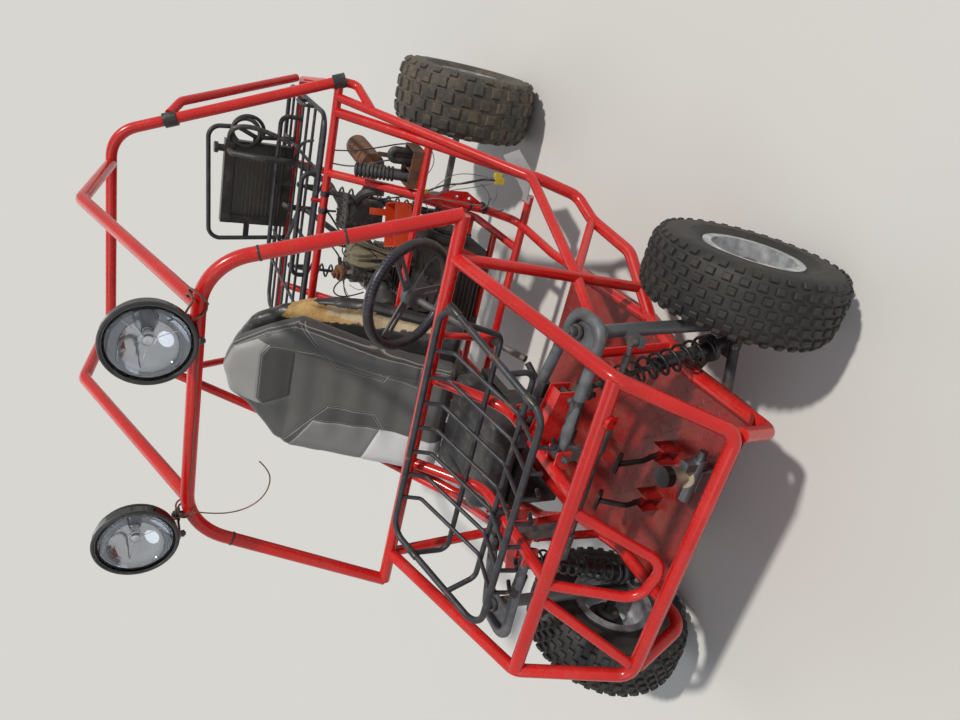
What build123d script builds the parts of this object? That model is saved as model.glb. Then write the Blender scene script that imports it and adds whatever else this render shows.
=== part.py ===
"""A two-seat dune buggy: a welded tube frame on four all-terrain tyres, with an open engine behind.

Millimetres, +Z up, ground at z = 0, nose towards -Y, +X on the vehicle's left.
"""
import os
from math import cos, pi, radians, sin, tan

from build123d import *

os.makedirs("parts", exist_ok=True)

# Driving dimensions: running gear
FRONT_AXLE_Y = -882
REAR_AXLE_Y = 962
FRONT_TRACK_HALF = 617
REAR_TRACK_HALF = 720
FRONT_TYRE_R = 267
FRONT_TYRE_W = 188
REAR_TYRE_R = 311
REAR_TYRE_W = 270
FRONT_RIM_R = 127
REAR_RIM_R = 152

# Driving dimensions: tube sizes
MAIN_TUBE = 38
NOSE_TUBE = 36
LIGHT_TUBE = 32
BRACE_TUBE = 28
RACK_TUBE = 19
RACK_SLAT = 12
SHEET_T = 4

# Frame points on the vehicle's left; the right side mirrors them
NOSE_LOW = (390, -1255, 521)
NOSE_TOP = (455, -1114, 791)
SIDE_COWL = (508, -557, 956)
COWL_END = (625, -557, 956)
HOOP_TOP = (407, -447, 1566)
RAIL_BASE = (298, -447, 1566)
APEX = (317, 266, 1833)
REAR_TOP = (427, 715, 1747)
RAIL_END = (319, 715, 1747)
CLAMP = (509, 678, 1559)
REAR_LOW = (753, 571, 1001)
BRACE_END = (668, 1120, 1035)
FRAME_TAIL = (660, 1146, 1000)
CROSSBAR_Y = 571
CROSSBAR_Z = 1001
CROSS_TUBE = (646, 230, 750)

# Floor
FLOOR_Z = 303
FLOOR_TOP = 286
NOSE_RAIL_X = 325
PAN_BACK = -180

# Steering
KINGPIN_TOP = (455, FRONT_AXLE_Y, 700)
KINGPIN_LOW = (494, FRONT_AXLE_Y, 200)
STEERING_WHEEL_AT = (280, -290, 945)
STEERING_WHEEL_R = 168
TIE_ROD_Z = 620
TIE_ROD_Y = -942

# Seats
SEAT_X = -290
SEAT_LEAN = 28

parts = {}


def mirror_point(p):
    """The same point on the vehicle's right."""
    return (-p[0], p[1], p[2])


def past(a, b, extra):
    """The point that lies beyond b on the line from a."""
    step = (Vector(*b) - Vector(*a)).normalized() * extra
    return tuple(Vector(*b) + step)


def tube(points, diameter, bend=70):
    """Adds one bent tube, with its corners on the points, to the piece being built."""
    with BuildLine() as route:
        if len(points) == 2:
            Line(*points)
        else:
            FilletPolyline(*points, radius=bend)
    wire = route.wires()[0]
    with BuildSketch(Plane(origin=wire @ 0, z_dir=wire % 0)) as section:
        Circle(diameter / 2)
    sweep(sections=section.sketch, path=wire)


def both_tubes(points, diameter, bend=70):
    """The same tube on both sides of the vehicle."""
    tube(points, diameter, bend)
    tube([mirror_point(p) for p in points], diameter, bend)


def ring_tube(corners, diameter, bend):
    """Adds a tube bent into a closed ring."""
    with BuildLine() as loop:
        FilletPolyline(*corners, radius=bend, close=True)
    ring = loop.wires()[0]
    with BuildSketch(Plane(origin=ring @ 0, z_dir=ring % 0)) as section:
        Circle(diameter / 2)
    sweep(sections=section.sketch, path=ring)


def rod(start, end, diameter):
    """Adds one straight round bar."""
    axis = Vector(*end) - Vector(*start)
    with BuildSketch(Plane(origin=start, z_dir=axis)) as section:
        Circle(diameter / 2)
    extrude(to_extrude=section.sketch, amount=axis.length)


def block(centre, size, turn=(0, 0, 0)):
    """Adds one box about its centre."""
    with Locations(Location(centre, turn)):
        Box(*size)


def plate(plane, outline, thickness):
    """Adds a flat plate of that outline, standing up from its plane."""
    with BuildSketch(plane) as face:
        Polygon(*outline, align=None)
    extrude(to_extrude=face.sketch, amount=thickness)


def open_tray(centre, size, turn=(0, 0, 0), wall=SHEET_T):
    """Adds a folded sheet tray, open at its top."""
    place = Location(centre, turn)
    with Locations(place):
        Box(*size)
    with Locations(place * Location((0, 0, wall))):
        Box(size[0] - 2 * wall, size[1] - 2 * wall, size[2], mode=Mode.SUBTRACT)


def cope(*names):
    """Cuts the piece being built to seat on the finished pieces that it meets."""
    for name in names:
        add(parts[name], mode=Mode.SUBTRACT)


def finish(name, built):
    """Keeps a finished piece and writes it."""
    built.part.label = name
    parts[name] = built.part
    export_step(built.part, f"parts/{name}.step")


# Main frame

COLUMN_TOP = Vector(*STEERING_WHEEL_AT)
COLUMN_LOW = Vector(STEERING_WHEEL_AT[0], -700, 747)
COLUMN_AXIS = (COLUMN_TOP - COLUMN_LOW).normalized()
COLLAR_HALF = 20
with BuildPart() as cowl_bar:
    tube([COWL_END, mirror_point(COWL_END)], MAIN_TUBE)
    # The stay and collar that carry the steering column
    collar_at = COLUMN_LOW + (COLUMN_TOP - COLUMN_LOW) * 0.3
    collar_low = collar_at - COLUMN_AXIS * COLLAR_HALF
    rod(tuple(collar_at), (collar_at.X, COWL_END[1], COWL_END[2]), 20)
    rod(tuple(collar_low), tuple(collar_at + COLUMN_AXIS * COLLAR_HALF), 44)
    with BuildSketch(Plane(origin=collar_low, z_dir=COLUMN_AXIS)) as bore:
        Circle(11)
    extrude(to_extrude=bore.sketch, amount=2 * COLLAR_HALF, mode=Mode.SUBTRACT)
finish("cowl_bar", cowl_bar)

with BuildPart() as nose_loop:
    left = [past(NOSE_TOP, SIDE_COWL, 5), NOSE_TOP, NOSE_LOW]
    tube(left + [mirror_point(p) for p in reversed(left)], NOSE_TUBE, 45)
    cope("cowl_bar")
finish("nose_loop", nose_loop)

with BuildPart() as windscreen_hoop:
    tube([COWL_END, HOOP_TOP, mirror_point(HOOP_TOP), mirror_point(COWL_END)], MAIN_TUBE, 165)
    cope("cowl_bar")
finish("windscreen_hoop", windscreen_hoop)

NOSE_BAR_Y = -1114
NOSE_BAR_Z = 791
TAB_NORMAL = Vector(0, -1, -0.4).normalized()
TAB_X = 352
U_BRACE = [
    (-143, NOSE_BAR_Y, NOSE_BAR_Z),
    (-143, -1215, 560),
    (-10, -1235, 545),
    (95, NOSE_BAR_Y, NOSE_BAR_Z),
]
with BuildPart() as nose_crossbar:
    tube([NOSE_TOP, mirror_point(NOSE_TOP)], MAIN_TUBE)
    tube(U_BRACE, BRACE_TUBE, 60)
    tube([(-190, NOSE_BAR_Y, NOSE_BAR_Z), (-345, -1249, 540)], BRACE_TUBE)
    # A drilled towing tab near the left end
    tab_at = Vector(TAB_X, NOSE_BAR_Y, NOSE_BAR_Z) + TAB_NORMAL * 16
    with BuildSketch(Plane(origin=tab_at, x_dir=(1, 0, 0), z_dir=TAB_NORMAL)) as tab:
        with Locations((0, -8)):
            SlotOverall(46, 32, rotation=90)
        with Locations((0, -16)):
            Circle(6, mode=Mode.SUBTRACT)
    extrude(to_extrude=tab.sketch, amount=9)
    cope("nose_loop")
finish("nose_crossbar", nose_crossbar)

HOOD_RAIL_X = 130
HOOD_RAILS = [
    [(HOOD_RAIL_X, NOSE_BAR_Y, NOSE_BAR_Z), (HOOD_RAIL_X, -712, 768), (141, -557, 945)],
    [(-HOOD_RAIL_X, NOSE_BAR_Y, NOSE_BAR_Z), (-HOOD_RAIL_X, -740, 790), (-154, -557, 945)],
]
ARM_EYE_X = 166
ARM_EYE_Z = 768
ARM_EYE_Y = (-985, -800)
ARM_EYE_HALF = 17
SHOCK_LOW = (432, -880, 228)
SHOCK_TOP = (272, -880, 722)
SHOCK_EYE_HALF = 21
with BuildPart() as hood_rails:
    for route in HOOD_RAILS:
        tube(route, LIGHT_TUBE, 120)
    for side in (1, -1):
        # Ears on both sides of each upper arm's eye
        for eye_y in ARM_EYE_Y:
            for face in (1, -1):
                ear_y = eye_y + face * (ARM_EYE_HALF + 2.5)
                block((side * 158, ear_y, 770), (52, 5, 40))
        # The drilled sheet tower that carries the front shock
        tower = [(118, 784), (150, 784), (294, 758), (296, 700), (118, 700)]
        outline = [(side * x, z) for x, z in tower]
        plate(Plane.XZ.offset(-SHOCK_TOP[1] + SHOCK_EYE_HALF), outline, SHEET_T)
        plate(Plane.XZ.offset(-SHOCK_TOP[1] - SHOCK_EYE_HALF - SHEET_T), outline, SHEET_T)
        lid = [(x, side_y) for side_y in (-SHOCK_EYE_HALF - 1, SHOCK_EYE_HALF + 1) for x in (148, 290)]
        block((side * 219, SHOCK_TOP[1], 762), (142, 2 * SHOCK_EYE_HALF + 2, SHEET_T), (0, side * 10, 0))
    cope("nose_crossbar", "cowl_bar")
finish("hood_rails", hood_rails)

BOW = [
    (375, -1240, 490),
    (332, -1180, FLOOR_Z),
    (NOSE_RAIL_X, -860, FLOOR_Z),
    (388, -640, FLOOR_Z),
    (530, -455, FLOOR_Z),
    (571, -280, 350),
    (622, -190, 371),
    (650, -133, 502),
    (643, CROSSBAR_Y, CROSSBAR_Z),
]
BOW_BENDS = [60, 150, 90, 80, 150, 55, 60]
with BuildPart() as side_bows:
    both_tubes(BOW, MAIN_TUBE, BOW_BENDS)
    cope("nose_loop")
finish("side_bows", side_bows)

POST_FOOT = (452, -557, FLOOR_Z + 6)
with BuildPart() as side_posts:
    both_tubes([SIDE_COWL, POST_FOOT], LIGHT_TUBE)
    for side in (1, -1):
        # The gusset under the cowl bar
        gusset = [(side * 500, 838), (side * 500, 942), (side * 536, 942)]
        plate(Plane.XZ.offset(555), gusset, SHEET_T)
    cope("nose_loop", "cowl_bar", "side_bows")
finish("side_posts", side_posts)

RAIL_FRONT = (330, -760, 560)
RAIL_AT_POST = (475, -548, 548)
MID_RAIL = [RAIL_FRONT, (402, -670, 552), RAIL_AT_POST, (652, -138, 530), (697, 566, CROSSBAR_Z)]
STUB = [(753, 566, CROSSBAR_Z), (752, 556, 940), (690, 430, 910)]
with BuildPart() as mid_rails:
    both_tubes(MID_RAIL, LIGHT_TUBE, [60, 60, 60])
    both_tubes(STUB, LIGHT_TUBE, 30)
    # The upright at the suspension and the step brace behind the post
    both_tubes([(354, -760, FLOOR_Z), past((354, -760, FLOOR_Z), RAIL_FRONT, 8)], BRACE_TUBE)
    both_tubes([RAIL_AT_POST, BOW[5]], BRACE_TUBE)
    cope("side_bows", "side_posts")
finish("mid_rails", mid_rails)

with BuildPart() as rear_hoop:
    tube([REAR_LOW, REAR_TOP, mirror_point(REAR_TOP), mirror_point(REAR_LOW)], MAIN_TUBE, 130)
    cope("side_bows", "mid_rails")
finish("rear_hoop", rear_hoop)

with BuildPart() as roof_rails:
    both_tubes([RAIL_BASE, APEX, RAIL_END], MAIN_TUBE, 60)
    cope("windscreen_hoop", "rear_hoop")
finish("roof_rails", roof_rails)

with BuildPart() as rear_crossbar:
    tube([(753, CROSSBAR_Y, CROSSBAR_Z), (-753, CROSSBAR_Y, CROSSBAR_Z)], LIGHT_TUBE)
    rod((300, CROSSBAR_Y, CROSSBAR_Z), (300, CROSSBAR_Y, CROSSBAR_Z + 51), 16)
    cope("side_bows", "rear_hoop", "mid_rails")
finish("rear_crossbar", rear_crossbar)

CLAMP_R = 26
CLAMP_HALF = 23
with BuildPart() as hoop_clamps:
    leg = Vector(*REAR_LOW) - Vector(*REAR_TOP)
    for side in (1, -1):
        along = Vector(side * leg.X, leg.Y, leg.Z).normalized() * CLAMP_HALF
        for x, y, z in (CLAMP, REAR_LOW):
            centre = Vector(side * x, y, z)
            rod(tuple(centre - along), tuple(centre + along), 2 * CLAMP_R)
    cope("rear_hoop", "rear_crossbar", "mid_rails")
finish("hoop_clamps", hoop_clamps)

with BuildPart() as tail_frame:
    tube([FRAME_TAIL, mirror_point(FRAME_TAIL)], LIGHT_TUBE)
    both_tubes([(735, CROSSBAR_Y, CROSSBAR_Z), (710, 800, CROSSBAR_Z), FRAME_TAIL], LIGHT_TUBE, 60)
    cope("side_bows", "rear_crossbar", "rear_hoop", "mid_rails", "hoop_clamps")
finish("tail_frame", tail_frame)

with BuildPart() as rear_braces:
    both_tubes([(CLAMP[0] + 18, CLAMP[1] + 6, CLAMP[2] + 4), (565, 745, 1520), BRACE_END], LIGHT_TUBE, 60)
    cope("rear_hoop", "hoop_clamps", "tail_frame")
finish("rear_braces", rear_braces)

SEAT_TUBE = [
    (413, CROSSBAR_Y - 3, CROSSBAR_Z),
    (453, 238, 752),
    (424, 238, 463),
    (399, 215, 330),
    (373, -63, 318),
    (385, -640, 306),
]
with BuildPart() as seat_tubes:
    both_tubes(SEAT_TUBE, LIGHT_TUBE, [50, 150, 50, 150])
    tube([CROSS_TUBE, mirror_point(CROSS_TUBE)], 30)
    for side in (1, -1):
        # The drilled gusset down the outer side of each seat tube
        with BuildSketch(Plane.XZ.offset(-238)) as gusset:
            Polygon(
                (side * 452, 700), (side * 482, 660), (side * 486, 560), (side * 448, 490), (side * 428, 500),
                align=None,
            )
            with Locations((side * 463, 600), (side * 462, 548)):
                Circle(6, mode=Mode.SUBTRACT)
        extrude(to_extrude=gusset.sketch, amount=SHEET_T)
    cope("rear_crossbar", "side_bows", "side_posts")
finish("seat_tubes", seat_tubes)

FLOOR_MEMBER_Y = 175
FLOOR_MEMBER_Z = 325
CRADLE_X = 300
ENGINE_BAR_Z = 352
ENGINE_BAR_Y = (330, 560)
with BuildPart() as engine_cradle:
    both_tubes(
        [
            (CRADLE_X, FLOOR_MEMBER_Y, FLOOR_MEMBER_Z),
            (CRADLE_X, 560, 335),
            (CRADLE_X, 760, 520),
            (CRADLE_X, 1150, 1003),
        ],
        LIGHT_TUBE,
        [80, 80],
    )
    tube([(515, FLOOR_MEMBER_Y, FLOOR_MEMBER_Z), (-515, FLOOR_MEMBER_Y, FLOOR_MEMBER_Z)], LIGHT_TUBE)
    for y in ENGINE_BAR_Y:
        tube([(CRADLE_X, y, ENGINE_BAR_Z), (-CRADLE_X, y, ENGINE_BAR_Z)], BRACE_TUBE)
    # The flat side plate behind the left bow, on a pad at the end of the cross-member
    block((500, FLOOR_MEMBER_Y, 333), (30, 60, 16))
    side_plate = [(500, 160), (600, 165), (655, 310), (603, 424), (545, 260)]
    plate(Plane.XY.offset(341), side_plate, SHEET_T)
    cope("tail_frame", "seat_tubes", "side_bows")
finish("engine_cradle", engine_cradle)

PAN_Z = FLOOR_TOP - SHEET_T / 2
PAN_PROFILE = [(-1262, 505), (-1250, 440), (-1195, PAN_Z), (PAN_BACK, PAN_Z)]
PAN_PLAN = [(345, -1300), (345, -860), (402, -640), (384, PAN_BACK)]
with BuildPart() as floor_pan:
    with BuildSketch(Plane.YZ.offset(-500)) as pan_edge:
        with BuildLine():
            FilletPolyline(*PAN_PROFILE, radius=[25, 60])
        trace(line_width=SHEET_T)
    extrude(to_extrude=pan_edge.sketch, amount=1000)
    with BuildSketch(Plane.XY) as pan_plan:
        Polygon(*PAN_PLAN, *[(-x, y) for x, y in reversed(PAN_PLAN)], align=None)
    extrude(to_extrude=pan_plan.sketch, amount=600, mode=Mode.INTERSECT)
    # Ears under the pan that carry the lower arms
    with Locations((190, -990, 259), (190, -760, 259), (-190, -990, 259), (-190, -760, 259)):
        Box(36, 44, 50)
    cope("nose_loop", "side_bows", "side_posts", "seat_tubes", "engine_cradle", "mid_rails")
finish("floor_pan", floor_pan)

# Front suspension

ARM_TUBE = 30
UPPER_ARM_Z = 742
ARM_REACH = 504
with BuildPart() as upper_arms:
    for side in (1, -1):
        hairpin = [
            (side * ARM_EYE_X, ARM_EYE_Y[0], ARM_EYE_Z),
            (side * ARM_REACH, -972, UPPER_ARM_Z),
            (side * ARM_REACH, -852, UPPER_ARM_Z),
            (side * ARM_EYE_X, ARM_EYE_Y[1], ARM_EYE_Z),
        ]
        tube(hairpin, ARM_TUBE, 46)
        for y in ARM_EYE_Y:
            eye = (side * ARM_EYE_X, y - ARM_EYE_HALF, ARM_EYE_Z)
            rod(eye, (eye[0], y + ARM_EYE_HALF, ARM_EYE_Z), 34)
        # The web that holds the kingpin between the two legs
        web = [(side * x, y) for x, y in ((425, -975), (495, -975), (495, -850), (425, -845))]
        plate(Plane.XY.offset(UPPER_ARM_Z - 12), web, 8)
    cope("hood_rails")
finish("upper_arms", upper_arms)

LOWER_ARM_Z = 214
with BuildPart() as lower_arms:
    for side in (1, -1):
        tube([(side * 190, -990, 240), (side * 462, -890, LOWER_ARM_Z)], ARM_TUBE)
        tube([(side * 190, -760, 240), (side * 462, -874, LOWER_ARM_Z)], ARM_TUBE)
        block((side * 425, FRONT_AXLE_Y, LOWER_ARM_Z), (70, 60, 24))
    cope("floor_pan")
finish("lower_arms", lower_arms)


def shock(low, top, eye_half, body_r, coil_low, coil_top, turns, wire):
    """Adds a coil-over damper between two eyes, its tapering spring as rings between two seats."""
    foot = Vector(*low)
    axis = Vector(*top) - foot
    along = axis.normalized()
    rod(low, top, 2 * body_r)
    for x, y, z in (low, top):
        rod((x, y - eye_half, z), (x, y + eye_half, z), 30)
    start, end = 0.13, 0.87
    discs = [(start, coil_low + 3, 6), (end, coil_top + 3, 6)]
    for k in range(turns):
        t = (k + 0.5) / turns
        discs.append((start + (end - start) * t, coil_low + (coil_top - coil_low) * t, wire))
    for t, disc_r, thickness in discs:
        at = foot + axis * t
        rod(tuple(at - along * thickness / 2), tuple(at + along * thickness / 2), 2 * disc_r)


with BuildPart() as front_shocks:
    for side in (1, -1):
        low = (side * SHOCK_LOW[0], SHOCK_LOW[1], SHOCK_LOW[2])
        top = (side * SHOCK_TOP[0], SHOCK_TOP[1], SHOCK_TOP[2])
        shock(low, top, SHOCK_EYE_HALF, 15, 38, 29, 10, 9)
    cope("upper_arms", "lower_arms", "hood_rails", "side_bows", "floor_pan")
finish("front_shocks", front_shocks)

# Steering

RACK_HALF = 140
LINK_LOW = (100, -915, 648)
LINK_TOP = COLUMN_LOW + Vector(-7, -9, -4)
with BuildPart() as steering_rack:
    rod((-RACK_HALF, TIE_ROD_Y, TIE_ROD_Z), (RACK_HALF, TIE_ROD_Y, TIE_ROD_Z), 44)
    for side in (1, -1):
        boot_at = (side * RACK_HALF, TIE_ROD_Y, TIE_ROD_Z)
        with BuildSketch(Plane(origin=boot_at, z_dir=(side, 0, 0))) as boot:
            Circle(27)
            Circle(19, mode=Mode.SUBTRACT)
        extrude(to_extrude=boot.sketch, amount=86)
        block((side * HOOD_RAIL_X, TIE_ROD_Y, 702), (30, 24, 164))
    # The pinion housing, open at the top for the shaft
    rod((100, TIE_ROD_Y + 6, TIE_ROD_Z + 8), (108.5, -905.4, 652.5), 40)
    socket_axis = Vector(273, -709, 743) - Vector(*LINK_LOW)
    with BuildSketch(Plane(origin=LINK_LOW, z_dir=socket_axis)) as socket:
        Circle(10)
    extrude(to_extrude=socket.sketch, amount=60, mode=Mode.SUBTRACT)
    extrude(to_extrude=socket.sketch, amount=-1, mode=Mode.SUBTRACT)
    cope("hood_rails", "nose_crossbar")
finish("steering_rack", steering_rack)


def kingpin_at(z, side=1):
    """The point of that side's kingpin axis at that height."""
    t = (KINGPIN_TOP[2] - z) / (KINGPIN_TOP[2] - KINGPIN_LOW[2])
    x, y, z = (a + (b - a) * t for a, b in zip(KINGPIN_TOP, KINGPIN_LOW))
    return (side * x, y, z)


ROD_END_X = kingpin_at(TIE_ROD_Z)[0]
SPINDLE_R = 15
for name, side in (("knuckle_left", 1), ("knuckle_right", -1)):
    with BuildPart() as knuckle:
        rod(kingpin_at(236, side), kingpin_at(UPPER_ARM_Z - 22, side), 36)
        rod(kingpin_at(FRONT_TYRE_R, side), (side * 640, FRONT_AXLE_Y, FRONT_TYRE_R), 2 * SPINDLE_R)
        arm = kingpin_at(TIE_ROD_Z - 18, side)
        block((arm[0], (arm[1] + TIE_ROD_Y) / 2 - 6, arm[2]), (26, 86, 14))
        rod(kingpin_at(LOWER_ARM_Z + 13, side), kingpin_at(UPPER_ARM_Z - 13, side), 16)
    finish(name, knuckle)

for name, side in (("tie_rod_left", 1), ("tie_rod_right", -1)):
    with BuildPart() as tie_rod:
        rod((side * 190, TIE_ROD_Y, TIE_ROD_Z), (side * (ROD_END_X - 8), TIE_ROD_Y, TIE_ROD_Z), 14)
        rod((side * (ROD_END_X - 70), TIE_ROD_Y, TIE_ROD_Z), (side * (ROD_END_X - 40), TIE_ROD_Y, TIE_ROD_Z), 20)
        with Locations((side * ROD_END_X, TIE_ROD_Y, TIE_ROD_Z)):
            Cylinder(14, 16)
    finish(name, tie_rod)

GRIP_R = 16
SPOKE_W = 32
with BuildPart() as steering_wheel:
    wheel_plane = Plane(origin=COLUMN_TOP, x_dir=(1, 0, 0), z_dir=COLUMN_AXIS)
    rim_at = wheel_plane.from_local_coords((STEERING_WHEEL_R, 0, 0))
    with BuildSketch(Plane(origin=rim_at, x_dir=(1, 0, 0), z_dir=wheel_plane.y_dir)) as rim:
        Circle(GRIP_R)
    revolve(profiles=rim.sketch, axis=Axis(COLUMN_TOP, COLUMN_AXIS), revolution_arc=360)
    # Three flat slotted spokes and the hub
    with BuildSketch(wheel_plane.offset(-3)) as spokes:
        with PolarLocations(STEERING_WHEEL_R / 2, 3, 90):
            Rectangle(STEERING_WHEEL_R, SPOKE_W)
        with PolarLocations(STEERING_WHEEL_R * 0.56, 3, 90):
            SlotOverall(66, 11, mode=Mode.SUBTRACT)
    extrude(to_extrude=spokes.sketch, amount=6)
    rod(tuple(COLUMN_TOP - COLUMN_AXIS * 30), tuple(COLUMN_TOP + COLUMN_AXIS * 8), 60)
    rod(tuple(COLUMN_TOP), tuple(COLUMN_TOP + COLUMN_AXIS * 16), 34)
finish("steering_wheel", steering_wheel)

with BuildPart() as steering_shaft:
    rod(tuple(COLUMN_LOW), tuple(COLUMN_TOP - COLUMN_AXIS * 30), 20)
finish("steering_shaft", steering_shaft)

with BuildPart() as steering_link:
    rod(tuple(LINK_TOP), LINK_LOW, 18)
finish("steering_link", steering_link)

# Wheels

SECTORS = 24
SECTOR = 2 * pi / SECTORS


def faceted_ring(outline):
    """A closed outline of (across, radius) points carried round the X axis in flat faces."""

    def corner(k, across, radius):
        reach = radius / cos(SECTOR / 2)
        angle = (k + 0.5) * SECTOR
        return (across, reach * cos(angle), reach * sin(angle))

    faces = []
    for k in range(SECTORS):
        for (x0, r0), (x1, r1) in zip(outline, outline[1:] + outline[:1]):
            corners = [corner(k, x0, r0), corner(k + 1, x0, r0), corner(k + 1, x1, r1), corner(k, x1, r1)]
            faces.append(Face(Wire.make_polygon(corners)))
    return Solid(Shell(faces))


def tyre_outline(width, tread_r, rim_r):
    """A low-pressure tyre's section: flat tread, round shoulders, walls and upright beads."""
    half = width / 2
    right = [
        (half * 0.66, tread_r),
        (half * 0.9, tread_r - 19),
        (half, tread_r - 54),
        (half * 0.9, rim_r + 28),
        (half * 0.8, rim_r + 14),
        (half * 0.8, rim_r),
    ]
    return right + [(-x, r) for x, r in reversed(right)]


def treaded_tyre(width, radius, rim_r, rows, lug_size, lug_height):
    """A tyre about the X axis with two lugs on every facet, the pairs in turn narrow and wide apart."""
    tread_r = radius - lug_height
    with BuildPart() as tyre:
        add(faceted_ring(tyre_outline(width, tread_r, rim_r)))
        planes = []
        for k in range(SECTORS):
            angle = (k + 1) * SECTOR
            out = Vector(0, cos(angle), sin(angle))
            for across in (-rows[k % 2], rows[k % 2]):
                foot = out * (tread_r - 2) + Vector(across, 0, 0)
                planes.append(Plane(origin=foot, x_dir=(1, 0, 0), z_dir=out))
        with BuildSketch(*planes) as lugs:
            Rectangle(*lug_size)
        extrude(to_extrude=lugs.sketch, amount=lug_height + 2)
    return tyre.part


def rim_outline(width, rim_r, face_x, side):
    """A pressed rim: two flanges, a drum and a dished centre disc at face_x."""
    half = width * 0.4
    return [
        (-half, rim_r), (-half, rim_r + 9), (-half - 6, rim_r + 9), (-half - 6, rim_r - 14),
        (side * face_x - 4, rim_r - 14), (side * face_x - 4, 16.5), (side * face_x + 4, 16.5),
        (side * face_x + 4, rim_r - 14), (half + 6, rim_r - 14), (half + 6, rim_r + 9),
        (half, rim_r + 9), (half, rim_r),
    ]


def rim_solid(centre, outline, disc_x, hole_ring):
    """Adds a rim turned about its axle, with six round windows through the centre disc."""
    with BuildSketch(Plane(origin=centre, x_dir=(1, 0, 0), z_dir=(0, -1, 0))) as section:
        with BuildLine():
            Polyline(*outline, close=True)
        make_face()
    revolve(profiles=section.sketch, axis=Axis(centre, (1, 0, 0)), revolution_arc=360)
    disc_at = (centre[0] + disc_x - 10, centre[1], centre[2])
    with BuildSketch(Plane(origin=disc_at, z_dir=(1, 0, 0))) as windows:
        with PolarLocations(hole_ring, 6):
            Circle(hole_ring * 0.2)
    extrude(to_extrude=windows.sketch, amount=20, mode=Mode.SUBTRACT)


FRONT_DISC_X = 20
REAR_DISC_X = 10
front_tyre = treaded_tyre(FRONT_TYRE_W, FRONT_TYRE_R, FRONT_RIM_R, (17, 46), (25, 42), 7)
for name, side in (("front_tyre_left", 1), ("front_tyre_right", -1)):
    with BuildPart() as tyre:
        add(front_tyre.moved(Location((side * FRONT_TRACK_HALF, FRONT_AXLE_Y, FRONT_TYRE_R))))
    finish(name, tyre)

for name, side in (("front_rim_left", 1), ("front_rim_right", -1)):
    with BuildPart() as rim:
        rim_solid(
            (side * FRONT_TRACK_HALF, FRONT_AXLE_Y, FRONT_TYRE_R),
            rim_outline(FRONT_TYRE_W, FRONT_RIM_R, FRONT_DISC_X, side),
            side * FRONT_DISC_X,
            72,
        )
    finish(name, rim)

rear_tyre = treaded_tyre(REAR_TYRE_W, REAR_TYRE_R, REAR_RIM_R, (23, 66), (40, 52), 8)
with BuildPart() as rear_tyres:
    for side in (1, -1):
        add(rear_tyre.moved(Location((side * REAR_TRACK_HALF, REAR_AXLE_Y, REAR_TYRE_R))))
finish("rear_tyres", rear_tyres)

SPROCKET_X = -262
SPROCKET_HALF = 4
SPROCKET_R = 105
with BuildPart() as rear_axle:
    rod((-730, REAR_AXLE_Y, REAR_TYRE_R), (730, REAR_AXLE_Y, REAR_TYRE_R), 32)
    with BuildSketch(Plane.YZ.offset(SPROCKET_X - SPROCKET_HALF)) as sprocket:
        with Locations((REAR_AXLE_Y, REAR_TYRE_R)):
            Circle(SPROCKET_R)
            with PolarLocations(62, 5):
                Circle(19, mode=Mode.SUBTRACT)
    extrude(to_extrude=sprocket.sketch, amount=2 * SPROCKET_HALF)
    rod((259, REAR_AXLE_Y, REAR_TYRE_R), (265, REAR_AXLE_Y, REAR_TYRE_R), 184)
finish("rear_axle", rear_axle)

with BuildPart() as rear_rims:
    for side in (1, -1):
        rim_solid(
            (side * REAR_TRACK_HALF, REAR_AXLE_Y, REAR_TYRE_R),
            rim_outline(REAR_TYRE_W, REAR_RIM_R, REAR_DISC_X, side),
            side * REAR_DISC_X,
            88,
        )
    cope("rear_axle")
finish("rear_rims", rear_rims)

# Rear suspension

PIVOT = (0, 690, 455)
HOUSING_R = 30
with BuildPart() as swing_arm:
    rod((-200, REAR_AXLE_Y, REAR_TYRE_R), (200, REAR_AXLE_Y, REAR_TYRE_R), 2 * HOUSING_R)
    rod((-CRADLE_X, PIVOT[1], PIVOT[2]), (CRADLE_X, PIVOT[1], PIVOT[2]), 30)
    for side in (1, -1):
        rod((side * 150, PIVOT[1], PIVOT[2]), (side * 150, REAR_AXLE_Y - 10, REAR_TYRE_R), 36)
        block((side * 185, REAR_AXLE_Y + 4, REAR_TYRE_R + 42), (24, 40, 44))
    with BuildSketch(Plane(origin=(-210, REAR_AXLE_Y, REAR_TYRE_R), z_dir=(1, 0, 0))) as bore:
        Circle(17)
    extrude(to_extrude=bore.sketch, amount=420, mode=Mode.SUBTRACT)
    cope("engine_cradle")
finish("swing_arm", swing_arm)

with BuildPart() as rear_shocks:
    for side in (1, -1):
        shock((side * 185, REAR_AXLE_Y + 6, 382), (side * 200, 1134, 962), 17, 15, 34, 30, 10, 9)
    cope("tail_frame", "swing_arm", "engine_cradle")
finish("rear_shocks", rear_shocks)

# Engine, drive and cooling

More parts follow.
